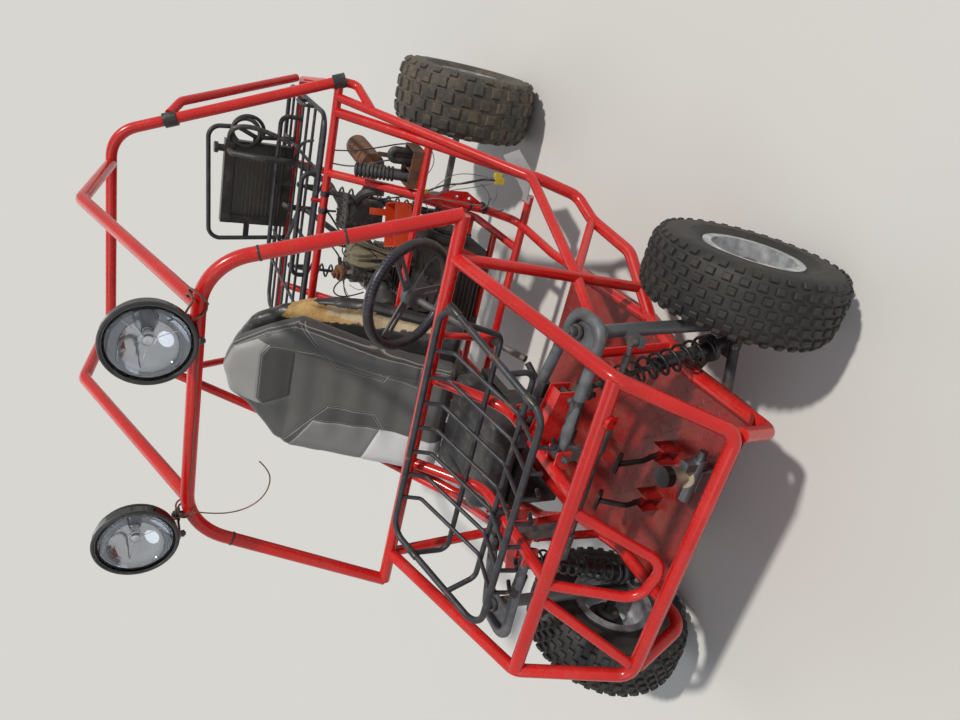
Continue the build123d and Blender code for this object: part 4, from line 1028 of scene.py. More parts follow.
def floor_sheet():
    """The floor: one sheet that rises to the nose bar, with a low lip each side and lugs beneath."""
    rows = len(FLOOR_STATIONS) - 1
    sheet = begin("grid", x_subdivisions=FLOOR_COLUMNS, y_subdivisions=rows, size=2)
    for vertex in sheet.data.vertices:
        y, z, half = FLOOR_STATIONS[round((vertex.co.y + 1) / 2 * rows)]
        column = round((vertex.co.x + 1) / 2 * FLOOR_COLUMNS)
        across = 2 * (column - 1) / (FLOOR_COLUMNS - 2) - 1
        lip = LIP if abs(across) > 1 else 0
        sag = SAG * sin(y * 0.021) * (1 - min(1, abs(across)) ** 2)
        vertex.co = mm(max(-1, min(1, across)) * half, y, z + lip - sag)
    modify(sheet, "SOLIDIFY", thickness=0.004, offset=0)
    bevel(sheet, 0.0012, 1, 50)
    parts = [sheet]
    for side in (1, -1):
        for y in (-990, -760):
            lug = slab(mm(side * LUG_X, y, LUG_Z), mm(36, 44, 48), rim=0.004)
            edit(lug, lambda face: face.normal.z < -0.9)
            bpy.ops.transform.resize(value=(0.8, 0.8, 1))
            leave()
            parts.append(fixed(lug))
    return keep(joined(parts), "floor_sheet", "red_floor", replaces=("floor_pan",))


floor_sheet()


# Tyres

SPIN_STEPS = 72
SIDES = ((1, "left"), (-1, "right"))
FRONT_WHEEL = (617, -882, 267)
REAR_WHEEL = (720, 962, 311)


def knob(length, width, height, taper=0.82):
    """One tread knob, its top drawn in and its edges worn round."""
    piece = begin("cube", size=1)
    piece.scale = (width, length, height)
    bpy.ops.object.transform_apply(location=False, rotation=False, scale=True)
    edit(piece, lambda face: face.normal.z > 0.9)
    bpy.ops.transform.resize(value=(taper, taper, 1))
    bpy.ops.mesh.bevel(offset=0.0022, segments=1, affect="EDGES")
    leave()
    return piece


def treaded(name, body, centre, section, rows, finish, node):
    """A tyre: a turned carcass and rows of knobs."""
    outline = [centre + mm(x, 0, r) for x, r in section]
    parts = [turned(outline, centre, (1, 0, 0), SPIN_STEPS)]
    draw = Random(name)
    for across, radius, lean, count, size, shift in rows:
        places = []
        for k in range(count):
            angle = 2 * pi * (k + shift) / count
            spin = Matrix.Rotation(angle, 4, "X")
            seat = Matrix.Translation(mm(across, 0, radius)) @ Matrix.Rotation(radians(lean), 4, "Y")
            worn = Matrix.Scale(1 - 0.06 * draw.random(), 4, (0, 0, 1))
            places.append(Matrix.Translation(centre) @ spin @ seat @ worn)
        parts.append(copies(knob(*mm(*size)), places))
    keep(joined(parts), name, finish, body, 30, (node,))


def mirrored(section):
    """A section's right half with its left half added."""
    return section + [(-x, r) for x, r in reversed(section)]


FRONT_SECTION = mirrored([
    (0.5, 258), (26, 258), (50, 256), (70, 250), (83, 240), (90, 224), (93, 203), (91, 181), (92.5, 176),
    (90, 171), (85, 158), (78, 146), (75, 140), (75, 127),
])
REAR_SECTION = mirrored([
    (0.5, 302), (50, 302), (88, 299), (112, 290), (127, 276), (133, 256), (134, 232), (131, 208),
    (132.5, 203), (129, 198), (122, 182), (111, 169), (108, 164), (108, 152),
])
# Each row: across, radius, lean, count, (length, width, height), shift
FRONT_ROWS = [(x, 259.5, 0, 38, (25, 21, 14), s) for x, s in ((-30, 0.0), (0, 0.5), (30, 0.0))]
FRONT_ROWS += [(side * 58, 255.5, side * 16, 38, (25, 20, 15), 0.5) for side in (-1, 1)]
FRONT_ROWS += [(side * 80, 243, side * 44, 38, (22, 18, 15), 0.0) for side in (-1, 1)]
REAR_ROWS = [(side * 27, 303.5, 0, 24, (48, 46, 14), 0.25 + side * 0.25) for side in (-1, 1)]
REAR_ROWS += [(side * 82, 300, side * 9, 24, (46, 46, 15), 0.25 - side * 0.25) for side in (-1, 1)]
REAR_ROWS += [(side * 119, 284, side * 46, 24, (36, 26, 17), 0.25 + side * 0.25) for side in (-1, 1)]
for side, where in SIDES:
    centre = mm(side * FRONT_WHEEL[0], *FRONT_WHEEL[1:])
    treaded(
        f"front_tread_{where}", f"wheel_front_{where}", centre, FRONT_SECTION, FRONT_ROWS, "front_rubber",
        f"front_tyre_{where}",
    )
for side, where in SIDES:
    centre = mm(side * REAR_WHEEL[0], *REAR_WHEEL[1:])
    treaded(
        f"rear_tread_{where}", "rear_axle", centre, REAR_SECTION, REAR_ROWS, "rear_rubber", "rear_tyres",
    )


# Coil springs and dampers


def spring(low, high, low_radius, high_radius, turns, wire):
    """A tapering helical spring between two points."""
    low, high = Vector(low), Vector(high)
    length = (high - low).length
    piece = begin(
        "circle", vertices=8, radius=wire / 2, location=(low_radius, 0, 0), rotation=(pi / 2, 0, 0)
    )
    fixed(piece)
    edit(piece)
    bpy.ops.mesh.edge_face_add()
    leave()
    modify(
        piece, "SCREW", angle=2 * pi * turns, screw_offset=length, steps=18 * turns, render_steps=18 * turns,
        use_normal_calculate=True,
    )
    for vertex in piece.data.vertices:
        t = vertex.co.z / length
        k = 1 + (high_radius / low_radius - 1) * t
        vertex.co.x *= k
        vertex.co.y *= k
    piece.matrix_world = facing(low, high - low)
    return piece


COIL_TURNS, COIL_WIRE = 10, 0.0095


def damper(name, node, low, high, eye_half, radii):
    """Two eyes, a body, a rod, two spring seats with rims and a gaiter collar."""
    low, high = mm(*low), mm(*high)
    along = high - low
    parts = [
        rod(low, low + along * 0.45, 0.019, 24, rim=0.002),
        rod(low + along * 0.4, high, 0.0075, 16),
        rod(low + along * 0.1, low + along * 0.13, (radii[0] + 4) / 1000, 28, rim=0.003),
        rod(low + along * 0.87, low + along * 0.9, (radii[1] + 4) / 1000, 28, rim=0.003),
        rod(low + along * 0.9, low + along * 0.97, 0.016, 20, end=0.011, rim=0.002),
        rod(low + along * 0.44, low + along * 0.47, 0.022, 24, rim=0.002),
    ]
    for place in (low, high):
        across = Vector((0, eye_half / 1000, 0))
        parts.append(rod(place - across, place + across, 0.0145, 24, rim=0.002))
    keep(joined([fixed(p) for p in parts]), name, "black", replaces=(node,))
    coil = spring(
        low + along * 0.135, low + along * 0.865, radii[0] / 1000, radii[1] / 1000, COIL_TURNS, COIL_WIRE
    )
    keep(coil, name + "_coil", "coil", replaces=(node,), smooth=60)


FRONT_EYES = ((432, -880, 228), (272, -880, 722))
REAR_EYES = ((185, 968, 382), (200, 1134, 962))
for side, where in SIDES:
    for end, eyes, half, radii in (("front", FRONT_EYES, 21, (36, 28)), ("rear", REAR_EYES, 17, (33, 29))):
        low, high = [(side * x, y, z) for x, y, z in eyes]
        damper(f"{end}_damper_{where}", f"{end}_shocks", low, high, half, radii)


# Seats


def on_seat(co, origin):
    """A point as it lies on a seat's face: across, up the lean and out of the face."""
    away = co - Vector(origin)
    return away.x, away.dot(SEAT_UP), away.dot(SEAT_OUT)


def swollen(piece, voxel, pressure, cap, frames=20):
    """Remeshes a piece and swells it with cloth under pressure, no point moving past the cap."""
    modify(piece, "REMESH", mode="VOXEL", voxel_size=voxel, use_smooth_shade=True)
    before = [vertex.co.copy() for vertex in piece.data.vertices]
    alone(piece)
    soft = piece.modifiers.new("cloth", "CLOTH")
    soft.settings.quality = 5
    soft.settings.mass = 0.3
    soft.settings.tension_stiffness = 12
    soft.settings.compression_stiffness = 12
    soft.settings.bending_stiffness = 0.6
    soft.settings.use_pressure = True
    soft.settings.uniform_pressure_force = pressure
    soft.settings.effector_weights.gravity = 0
    soft.point_cache.frame_end = frames
    scene = bpy.context.scene
    for frame_number in range(1, frames + 1):
        scene.frame_set(frame_number)
    bpy.ops.object.modifier_apply(modifier=soft.name)
    scene.frame_set(1)
    for vertex, start in zip(piece.data.vertices, before):
        move = vertex.co - start
        if move.length > cap:
            vertex.co = start + move * (cap / move.length)
    return piece


def solid_copy(node, shrink=0.0):
    """A merged copy of a CAD node's mesh, drawn in a little along its normals."""
    piece = NODES[node].copy()
    piece.data = NODES[node].data.copy()
    piece.parent = None
    bpy.context.scene.collection.objects.link(piece)
    piece.hide_render = piece.hide_viewport = False
    for key in list(piece.keys()):
        del piece[key]
    edit(piece)
    bpy.ops.mesh.remove_doubles(threshold=MERGE_GAP)
    leave()
    if shrink:
        modify(piece, "DISPLACE", strength=-shrink, mid_level=0)
    return piece


def distance_to(point, line):
    """How far a point of the plane lies from a line of corners."""
    best = 9.0
    for (x0, y0), (x1, y1) in zip(line, line[1:]):
        run_x, run_y = x1 - x0, y1 - y0
        t = share(((point[0] - x0) * run_x + (point[1] - y0) * run_y) / (run_x ** 2 + run_y ** 2))
        best = min(best, hypot(point[0] - x0 - run_x * t, point[1] - y0 - run_y * t))
    return best


def in_metres(line):
    return [(x / 1000, y / 1000) for x, y in line]


# Seams on the seat's face, in millimetres across and up the lean
SEAT_SEAMS = [in_metres(line) for line in (
    [(-90, 688), (-70, 708), (113, 707), (157, 684)],
    [(-90, 688), (-40, 591), (151, 587), (158, 677)],
    [(-228, 603), (-116, 500), (-47, 444), (-40, 271), (-103, 224), (-103, 126), (-110, 20)],
    [(-258, 585), (-122, 492), (-98, 236), (-103, 126)],
    [(-253, 299), (-98, 236)],
    [(259, 576), (170, 466), (124, 432), (110, 256), (145, 241), (150, 20)],
    [(158, 677), (169, 514), (118, 131), (213, 129)],
)]
OLD_SCAR = in_metres([(236, 640), (232, 480), (252, 350), (250, 140)])
SCAR_HALF, SCAR_DEPTH = 0.034, 0.018
SEAM_HALF = 0.009
SEAM_DEPTH = 0.006


def seam_at(place, seams):
    """How deep the sewn seams press in at a place."""
    gap = min(distance_to(place, line) for line in seams)
    return SEAM_DEPTH * (1 - gap / SEAM_HALF) ** 2 if gap < SEAM_HALF else 0.0


def hollow(across, up):
    """How far the seat's face stands out at a place: side bolsters, a dished middle, a flat head."""
    side = share((abs(across) - 0.10) / 0.11)
    side = side * side * (3 - 2 * side)
    low = share((up - 0.02) / 0.12) * share((0.70 - up) / 0.12)
    ribs = 0.003 * sin(up * 60) * (1 - side)
    return (0.030 * side - 0.016 + ribs) * low


VOXEL = 0.006
back = swollen(solid_copy("seat_back", 0.004), VOXEL, 4, 0.012)
modify(back, "SMOOTH", factor=0.5, iterations=26)
for vertex in back.data.vertices:
    across, up, out = on_seat(vertex.co, SEAT_AT)
    front = share((out + 0.075) / 0.06)
    vertex.co += SEAT_OUT * (hollow(across, up) * front)
    vertex.co -= SEAT_OUT * (seam_at((across, up), SEAT_SEAMS) * front)
modify(back, "SUBSURF", levels=1, render_levels=1)
keep(back, "bucket_seat_back", "seat_face", smooth=60, replaces=("seat_back",))

cushion = swollen(solid_copy("seat_cushion", 0.006), VOXEL, 4, 0.014)
modify(cushion, "SMOOTH", factor=0.5, iterations=22)
CUSHION_AT = mm(-290, -270, 625)
CUSHION_SEAMS = [in_metres(line) for line in (
    [(-110, -200), (-95, 170)], [(110, -200), (95, 170)], [(-110, -60), (110, -60)], [(-105, 60), (105, 60)],
)]
for vertex in cushion.data.vertices:
    away = vertex.co - CUSHION_AT
    top = share((away.z + 0.06) / 0.05)
    side = share((abs(away.x) - 0.09) / 0.08)
    vertex.co.z += (0.014 * side - 0.012) * top
    vertex.co.z -= seam_at((away.x, away.y), CUSHION_SEAMS) * top
modify(cushion, "SUBSURF", levels=1, render_levels=1)
keep(cushion, "bucket_seat_cushion", "vinyl", smooth=60, replaces=("seat_cushion",))

old = swollen(solid_copy("old_seat_back", 0.002), VOXEL, 3, 0.008)
modify(old, "SMOOTH", factor=0.5, iterations=16)
for vertex in old.data.vertices:
    across, up, out = on_seat(vertex.co, OLD_SEAT_AT)
    scar = distance_to((across, up), OLD_SCAR)
    if scar < SCAR_HALF:
        vertex.co -= SEAT_OUT * (SCAR_DEPTH * (1 - scar / SCAR_HALF))
ragged = bpy.data.textures.new("ragged", "CLOUDS")
ragged.noise_scale = 0.05
ragged.noise_depth = 4
modify(old, "DISPLACE", texture=ragged, strength=0.006, mid_level=0.55, texture_coords="GLOBAL")
keep(old, "old_seat_foam", "old_seat", smooth=60, replaces=("old_seat_back",))


# Lamps

FORWARD, BACKWARD, UP = (0, -1, 0), (0, 1, 0), (0, 0, 1)
STEM_Y = -447
lamp_trim, lamp_bulbs = [], []
for px, py, pz in LAMP_PLACES:
    x, y, z = px * 1000, py * 1000, pz * 1000
    lamp_trim.append(ring((x, y - 24, z), FORWARD, 104, 5.0, 64))
    lamp_trim += [ring((x, y + 4 + 9 * k, z), FORWARD, 101.5 - 2.6 * k ** 1.6, 2.4, 64) for k in range(4)]
    # The stem's washers, lock nut and the pivot bolt under the strap
    foot = 1585 if x > 0 else 1583
    lamp_trim.append(sleeve((x, STEM_Y, foot + 4), UP, 21, 7, 0.0015))
    lamp_trim.append(sleeve((x, STEM_Y, foot + 11), UP, 16, 5, 0.001))
    lamp_trim.append(nut((x, y - 4, z - 118), (0, 0, -1), 0.020, 0.009))
    lamp_trim.append(nut((x, STEM_Y, z - 102), UP, 0.022, 0.009))
    # The bulb's holder, its shield and the shield's three wires in the bowl
    lamp_bulbs.append(sleeve((x, y + 26, z), FORWARD, 13, 22, 0.002))
    lamp_bulbs.append(sleeve((x, y + 12, z), FORWARD, 7, 26, 0.002, 16))
    lamp_bulbs.append(sleeve((x, y - 2, z), FORWARD, 12, 5, 0.002))
    lamp_bulbs.append(ring((x, y + 3, z), FORWARD, 17, 1.6))
    for k in range(3):
        angle = radians(120 * k + 50)
        reach = (x + 74 * cos(angle), y + 4, z + 74 * sin(angle))
        lamp_bulbs.append(pipe([(x + 12 * cos(angle), y - 1, z + 12 * sin(angle)), reach], 2.0))
keep(joined(lamp_trim), "lamp_rings", "black")
keep(joined(lamp_bulbs), "lamp_bulbs", "bright")

# The lamps' wires, wound round the hoop and tied to its bars
LEFT_LOOPS = [
    (262, -470, 1606), (296, -478, 1598), (322, -474, 1580), (330, -452, 1590), (318, -428, 1596),
    (300, -424, 1580), (296, -440, 1548), (310, -468, 1545), (335, -472, 1566), (345, -450, 1588),
    (330, -426, 1590), (312, -424, 1572), (306, -446, 1545), (282, -470, 1552), (268, -472, 1580),
    (262, -462, 1602), (256, -449, 1612),
]
RIGHT_LOOPS = [(-x - 22, y, z) for x, y, z in LEFT_LOOPS[2:13]]
ALONG_BAR = [
    (-262, -470, 1566), (-180, -468, 1560), (-90, -471, 1563), (10, -468, 1560), (110, -470, 1564),
    (200, -468, 1562), (262, -470, 1572),
]
wires = [pipe(LEFT_LOOPS, 6), pipe(RIGHT_LOOPS, 5.5), pipe(ALONG_BAR, 3.5)]
keep(joined(wires), "lamp_leads", "brown_wire")


# Wheels

# How far a rim's disc lies off its wheel's middle, and half its thickness
FRONT_DISC, REAR_DISC, HALF_DISC = 20, 10, 4
NUTS_A_WHEEL = 4


def wheel_nuts(side, face, centre, reach, across, twist):
    """The ring of nuts on a wheel's face, each turned a little further than the one before."""
    made = []
    for k in range(NUTS_A_WHEEL):
        angle = radians(45 + 90 * k)
        place = (face + side * 6, centre[1] + reach * cos(angle), centre[2] + reach * sin(angle))
        made.append(nut(place, (side, 0, 0), across, 0.013, twist * k))
    return made


x, y, z = FRONT_WHEEL
for side, where in SIDES:
    axis = (side, 0, 0)
    face = side * (x + FRONT_DISC + HALF_DISC)
    hub = [
        sleeve((face + side * 9, y, z), axis, 34, 20, 0.003, 32),
        sleeve((face + side * 24, y, z), axis, 22, 22, 0.004, 32),
    ]
    hub += wheel_nuts(side, face, FRONT_WHEEL, 52, 0.021, 11)
    back = side * (x + FRONT_DISC - HALF_DISC)
    hub.append(sleeve((back - side * 22, y, z), axis, 40, 44, 0.004, 32))
    hub.append(sleeve((back - side * 6, y, z), axis, 62, 8, 0.002, 40))
    # The tyre's valve stem
    hub.append(sleeve((face + side * 10, y + 96, z), axis, 4.2, 26, 0.001, 12))
    keep(joined(hub), f"front_hub_{where}", "dark_arm", f"wheel_front_{where}")
x, y, z = REAR_WHEEL
rear_hubs = []
for side in (1, -1):
    face = side * (x + REAR_DISC + HALF_DISC)
    rear_hubs.append(sleeve((face + side * 8, y, z), (side, 0, 0), 44, 18, 0.003, 32))
    rear_hubs.append(nut((face + side * 26, y, z), (side, 0, 0), 0.040, 0.020))
    rear_hubs += wheel_nuts(side, face, REAR_WHEEL, 60, 0.022, 9)
keep(joined(rear_hubs), "rear_hubs", "dark_arm", "rear_axle")


# Front suspension: tape on the arms, and the bolts' nuts

ARM_Z, PIVOT_Z = 758, 768
KINGPIN_LEAN = -0.06


def bolt_through(x, y, z, half, rolls=(0, 0)):
    """The nuts at the two ends of a bolt that lies along the vehicle."""
    return [
        nut((x, y - half, z), FORWARD, 0.022, 0.012, rolls[0]),
        nut((x, y + half, z), BACKWARD, 0.022, 0.010, rolls[1]),
    ]


tape, bolts = [], []
for side in (1, -1):
    for x, y, length in ((282, -979, 74), (262, -825, 44)):
        tape.append(sleeve((side * x, y, ARM_Z), (1, side * 0.03, -0.06), 16.6, length, 0.001))
    for y in (-985, -800):
        bolts += bolt_through(side * 166, y, PIVOT_Z, 27, (8, 20))
    bolts.append(nut((side * 455, -882, 762), (side * KINGPIN_LEAN, 0, 1), 0.030, 0.018))
    bolts.append(sleeve((side * 456, -882, 748), (side * KINGPIN_LEAN, 0, 1), 20, 10, 0.002))
    for x, y, z in FRONT_EYES:
        bolts += bolt_through(side * x, y, z, 30)
keep(joined(tape), "arm_tape", "black")
keep(joined(bolts), "suspension_bolts", "dull")


# Ties round the tubes and the wires tied to them

TIED_BUNCH = [
    (436, 228, 742), (458, 212, 700), (448, 216, 640), (452, 214, 590), (444, 215, 540), (447, 214, 498),
]
ties = [
    sleeve((453, -470, 1437), (-218, 110, 610), 20.6, 6),
    sleeve((524.6, -506.3, 1237), (-218, 110, 610), 20.6, 6),
    sleeve((432, 236, 540), (0.1, 0, 1), 18.5, 7),
    sleeve((435, 236, 486), (0.1, 0, 1), 19.5, 12),
    sleeve((428, 232, 472), (0.4, 0.1, 1), 20, 6),
    sleeve((-453, -470, 1437), (218, 110, 610), 20.6, 6),
    sleeve((140, -812, 775), (0, 1, 0.03), 17.4, 30),
    pipe([(430, 220, 486), (452, 200, 478), (474, 196, 486), (480, 202, 470)], 3.0),
    pipe([(438, 218, 472), (430, 200, 452), (436, 192, 430), (444, 196, 412)], 4.0),
    pipe([(140, -830, 762), (120, -836, 752), (104, -830, 742)], 5.0),
]
keep(joined(ties), "ties", "black")

grey_wires = [pipe(route, diameter) for diameter, route in (
    (4.5, TIED_BUNCH),
    (3.2, [(430, 214, 500), (452, 210, 470), (486, 220, 474), (510, 222, 494), (522, 236, 512)]),
    (3.0, [(434, 214, 486), (470, 206, 452), (505, 214, 446), (526, 226, 452)]),
    (3.2, [(462, 216, 700), (492, 214, 640), (506, 216, 560), (528, 232, 470)]),
    (3.2, [(466, 216, 690), (510, 210, 640), (536, 214, 560), (552, 236, 476)]),
    (3.0, [(470, 220, 716), (520, 212, 690), (566, 220, 600), (548, 236, 466)]),
)]
keep(joined(grey_wires), "tied_wires", "grey_wire")


# Engine bay

# The carburettor, its bowl, slide cap and throttle cable, between the cylinder and the air filter
INTAKE_AXIS = (60, 120, -5)
CAP_AXIS = (-0.1, -0.25, 1)
carburettor = [
    sleeve((48, 428, 792), UP, 21, 74, 0.003),
    sleeve((48, 428, 748), UP, 27, 32, 0.004),
    sleeve((48, 428, 836), UP, 16, 20, 0.003),
    sleeve((48, 428, 848), UP, 9, 14, 0.002, 16),
    sleeve((80, 430, 770), (1, 0, 0), 9, 26, 0.002, 16),
    ring((56, 447, 770), INTAKE_AXIS, 29, 2.6),
    ring((30, 390, 772), INTAKE_AXIS, 43, 2.6),
]
for x, y in ((98, 482), (22, 482), (98, 558), (22, 558)):
    carburettor.append(nut((x, y, 882), UP, 0.024, 0.014, x))
keep(joined(carburettor), "carburettor", "dark_alloy")

rusty_cap = [
    sleeve((30, 500, 915), CAP_AXIS, 34, 26, 0.006, 40),
    sleeve((27, 494, 934), CAP_AXIS, 19, 14, 0.004, 32),
    nut((26, 492, 944), CAP_AXIS, 0.022, 0.012),
]
keep(joined(rusty_cap), "rusty_cap", "rust")

# The black air box on its strap from the crossbar, with a ribbed lid and clips
AIR_BOX_AT, AIR_BOX_TURN = (286, 512), 12
air_box = slab(mm(*AIR_BOX_AT, 858), mm(132, 112, 150), (0, 0, AIR_BOX_TURN), 0)
edit(air_box, lambda face: face.normal.z < -0.9)
bpy.ops.transform.resize(value=(0.72, 0.76, 1))
leave()
bevel(air_box, 0.016, 4)
lid = slab(mm(*AIR_BOX_AT, 938), mm(142, 122, 16), (0, 0, AIR_BOX_TURN), 0.005)
box_parts = [fixed(air_box), fixed(lid)]
turn = Matrix.Rotation(radians(AIR_BOX_TURN), 4, "Z")
lid_ribs = [(-44 + 22 * k, 0, 948, (7, 96, 8), 0.002) for k in range(5)]
lid_clips = [(x, y, 930, (16, 5, 30), 0.0015) for y in (-62, 62) for x in (-40, 40)]
for x, y, z, size, rim in lid_ribs + lid_clips:
    bar = slab((0, 0, 0), mm(*size), rim=rim)
    bar.matrix_world = Matrix.Translation(mm(*AIR_BOX_AT, z)) @ turn @ Matrix.Translation(mm(x, y, 0))
    box_parts.append(fixed(bar))
box_parts += [
    pipe([(240, 500, 880), (205, 480, 868), (170, 452, 830), (130, 440, 800), (84, 436, 786)], 44),
    pipe([(330, 480, 900), (366, 456, 900), (400, 430, 872), (404, 410, 820)], 34),
    sleeve((206, 480, 866), (-1, -0.7, -0.6), 24.5, 10, 0.002),
    sleeve((128, 441, 800), (-1, -0.3, -0.7), 24.5, 10, 0.002),
]
keep(joined(box_parts), "air_box", "plastic")
straps = [
    pipe([(262, 571, 985), (262, 566, 968), (266, 560, 950)], 9),
    pipe([(330, 571, 985), (330, 568, 968), (326, 566, 950)], 9),
    sleeve((262, 571, 1001), (1, 0, 0), 18, 22, 0.002),
    sleeve((330, 571, 1001), (1, 0, 0), 18, 22, 0.002),
]
keep(joined(straps), "air_box_straps", "black")

# The ignition coil with its lead and plug cap, and a fan cover with its bolts
spark = [
    fixed(slab(mm(150, 566, 905), mm(64, 34, 40), (0, 8, 20), 0.006)),
    sleeve((150, 566, 930), (0, 0.1, 1), 12, 18, 0.003),
    sleeve((60, 520, 906), UP, 12, 22, 0.004),
    sleeve((72, 522, 918), (1, 0.1, 0.2), 8, 30, 0.002),
    pipe([(84, 523, 920), (104, 526, 932), (132, 548, 962), (150, 562, 966), (150, 566, 936)], 7),
    pipe([(150, 560, 905), (200, 566, 930), (262, 574, 985)], 8),
]
keep(joined(spark), "ignition_coil", "plastic")
FAN_Y, FAN_Z, FAN_SPOKES = 440, 500, 10


def on_fan(x, reach, angle):
    """A place on the fan cover, at a reach and an angle from its middle."""
    return x, FAN_Y + reach * cos(angle), FAN_Z + reach * sin(angle)


fan = [ring((262, FAN_Y, FAN_Z), (1, 0, 0), 82, 5, 56), ring((275, FAN_Y, FAN_Z), (1, 0, 0), 52, 4, 48)]
for k in range(FAN_SPOKES):
    angle = 2 * pi * k / FAN_SPOKES
    fan.append(fixed(rod(mm(*on_fan(276, 22, angle)), mm(*on_fan(262, 80, angle)), 0.0028, 8, rim=0.0005)))
    if k % 2:
        fan.append(nut(on_fan(262, 88, angle), (1, 0, 0), 0.014, 0.008))
keep(joined(fan), "fan_cover", "dark_alloy")

# Cooling ribs and bolts on the engine's case
case_parts = []
for k in range(8):
    case_parts.append(fixed(slab(mm(40, 289, 394 + 20 * k), mm(336 - 6 * k, 10, 6), rim=0.0018)))
for x in (-132, -76, 92, 150, 208):
    case_parts.append(nut((x, 338, 604), (0, -0.664, 0.747), 0.018, 0.011, x))
for x in (-120, -40, 40, 120, 200):
    case_parts.append(nut((x, 400, 645), UP, 0.018, 0.011, x))
    case_parts.append(fixed(slab(mm(x, 470, 642), mm(8, 190, 8), rim=0.002)))
keep(joined(case_parts), "case_ribs", "dark_alloy")

# Cables and hoses that are tied or clamped at both ends
engine_cables = [pipe(route, diameter) for diameter, route in (
    (6, [(48, 428, 852), (46, 424, 905), (10, 430, 950), (-50, 470, 946), (-84, 500, 880), (-70, 540, 790)]),
    (5, [(80, 430, 772), (130, 404, 790), (180, 420, 860), (176, 470, 925), (120, 490, 930), (80, 540, 885)]),
    (5, [(-60, 440, 700), (-92, 430, 780), (-80, 450, 870), (-30, 480, 905), (20, 520, 890)]),
    (5.5, [(502, 570, 985), (508, 560, 930), (540, 536, 830), (578, 508, 741),
        (586, 460, 690), (560, 330, 745)]),
    (5.5, [(451, 570, 985), (452, 540, 930), (480, 500, 870), (530, 430, 800), (548, 330, 780)]),
    (6, [(350, 500, 800), (380, 440, 760), (420, 330, 748), (430, 262, 750)]),
    (7, [(230, 380, 690), (200, 350, 640), (150, 330, 640), (110, 330, 620)]),
    (8, [(220, 470, 640), (262, 430, 690), (286, 390, 730), (300, 376, 760)]),
    (6, [(-20, 380, 655), (-60, 360, 690), (-70, 380, 740), (-20, 392, 768)]),
)]
keep(joined(engine_cables), "engine_cables", "plastic")
thin_wires = [pipe(route, diameter) for diameter, route in (
    (2.6, [(-64, 440, 690), (-110, 430, 760), (-92, 450, 850), (-30, 470, 900),
        (60, 474, 925), (150, 480, 915)]),
    (2.6, [(176, 478, 922), (226, 440, 930), (238, 400, 880), (262, 360, 830), (290, 340, 812)]),
    (2.6, [(150, 470, 915), (196, 450, 930), (220, 420, 850), (190, 400, 780),
        (150, 404, 740), (110, 400, 668)]),
    (2.6, [(240, 420, 700), (282, 410, 680), (322, 330, 700), (336, 262, 738)]),
    (2.6, [(-8, 470, 880), (-30, 446, 850), (10, 430, 812), (40, 428, 800)]),
    (3, [(220, 430, 600), (280, 400, 610), (350, 330, 660), (420, 262, 700), (430, 240, 735)]),
    (3, [(520, 250, 735), (570, 240, 700), (640, 300, 730), (664, 330, 770)]),
    (3, [(-60, 340, 612), (0, 300, 655), (60, 312, 668), (130, 300, 645), (200, 330, 610), (224, 350, 560)]),
    (3, [(90, 340, 612), (120, 296, 650), (170, 288, 640), (214, 300, 590), (196, 288, 540)]),
    (3, [(-100, 288, 520), (-20, 270, 560), (70, 268, 540), (150, 270, 500), (210, 286, 470)]),
)]
keep(joined(thin_wires), "thin_wires", "grey_wire")

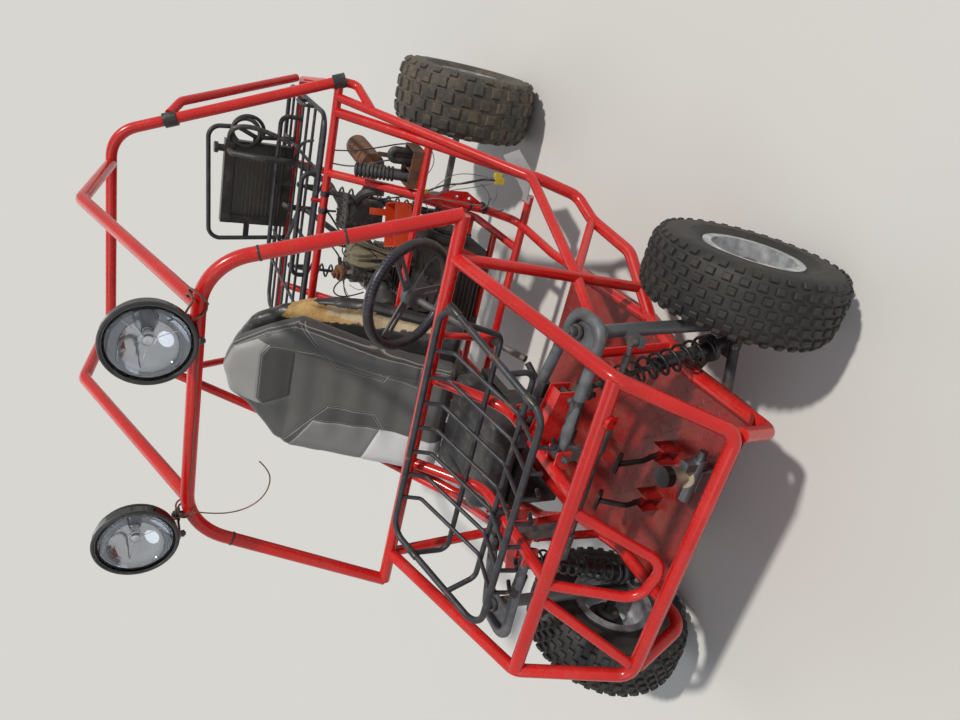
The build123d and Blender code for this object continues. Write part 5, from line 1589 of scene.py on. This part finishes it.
# Hoses hung over the radiator's hoop, and bands of tape on the racks
hose_loops = [
    ring((424, 1044, 1236), (0.12, -1, 0.10), 56, 9, 48),
    ring((430, 1062, 1224), (-0.2, -1, 0.05), 64, 8, 48),
    pipe([(384, 1046, 1300), (430, 1020, 1310), (462, 1000, 1250), (450, 980, 1150), (420, 960, 1060)], 20),
    pipe([(10, 1040, 1080), (-20, 1010, 1070), (-30, 960, 1050), (40, 900, 1042), (160, 820, 1040)], 16),
    pipe([(300, 1020, 1050), (330, 960, 1044), (420, 900, 1046), (470, 820, 1040), (500, 700, 1040)], 12),
]
keep(joined(hose_loops), "hose_loops", "plastic")
rack_tape = [
    sleeve((395, -650, 968.7), (125, 392, 128), 11.5, 46),
    sleeve((300, -948, 871.3), (125, 392, 128), 11.5, 40),
    sleeve((-384, -700, 952.3), (43, 392, 128), 11.5, 40),
]
keep(joined(rack_tape), "rack_tape", "black")

# The rag that hangs over the cylinder's head
RAG_PATH = [
    (540, 882), (500, 880), (462, 881), (444, 868), (436, 840), (430, 800),
    (428, 760), (430, 720), (434, 694),
]
RAG_ROWS, RAG_COLUMNS = 48, 34
RAG_X, RAG_WIDTH = 122, 92


def rag_point(across, down):
    """A point of the rag, across and down its cloth from 0 to 1: bunched on top, in folds below."""
    run = down * (len(RAG_PATH) - 1)
    k = min(int(run), len(RAG_PATH) - 2)
    part = run - k
    y = RAG_PATH[k][0] * (1 - part) + RAG_PATH[k + 1][0] * part
    z = RAG_PATH[k][1] * (1 - part) + RAG_PATH[k + 1][1] * part
    fall = share((down - 0.2) / 0.25)
    folds = 11 * sin(2 * pi * (2.3 * across + 0.35 * down))
    folds += 6 * sin(2 * pi * (4.7 * across - 0.9 * down) + 1)
    lift = 13 + folds * (0.35 + 0.65 * fall)
    width = RAG_WIDTH + 26 * sin(3.1 * down + 0.6) - 14 * fall
    x = RAG_X + (across - 0.5) * width + 10 * sin(5 * down) + 26 * down
    x += 7 * sin(9 * down + 5 * across)
    hem = 14 * sin(5 * across + 1) * max(0.0, down - 0.7) / 0.3
    return mm(x, y - lift * fall, z + lift * (1 - fall) + hem)


rag = begin("grid", x_subdivisions=RAG_COLUMNS, y_subdivisions=RAG_ROWS, size=2)
for vertex in rag.data.vertices:
    vertex.co = rag_point((vertex.co.x + 1) / 2, (vertex.co.y + 1) / 2)
steps = [k / 60 for k in range(61)]
rag_width = sum((rag_point(b, 0.6) - rag_point(a, 0.6)).length for a, b in zip(steps, steps[1:]))
rag_length = sum((rag_point(0.5, b) - rag_point(0.5, a)).length for a, b in zip(steps, steps[1:]))
modify(rag, "SMOOTH", factor=0.4, iterations=3)
modify(rag, "SOLIDIFY", thickness=0.0018, offset=0)
modify(rag, "SUBSURF", levels=1, render_levels=1)
keep(rag, "rag", "khaki", smooth=70)


bpy.context.scene.view_settings.view_transform = "Standard"
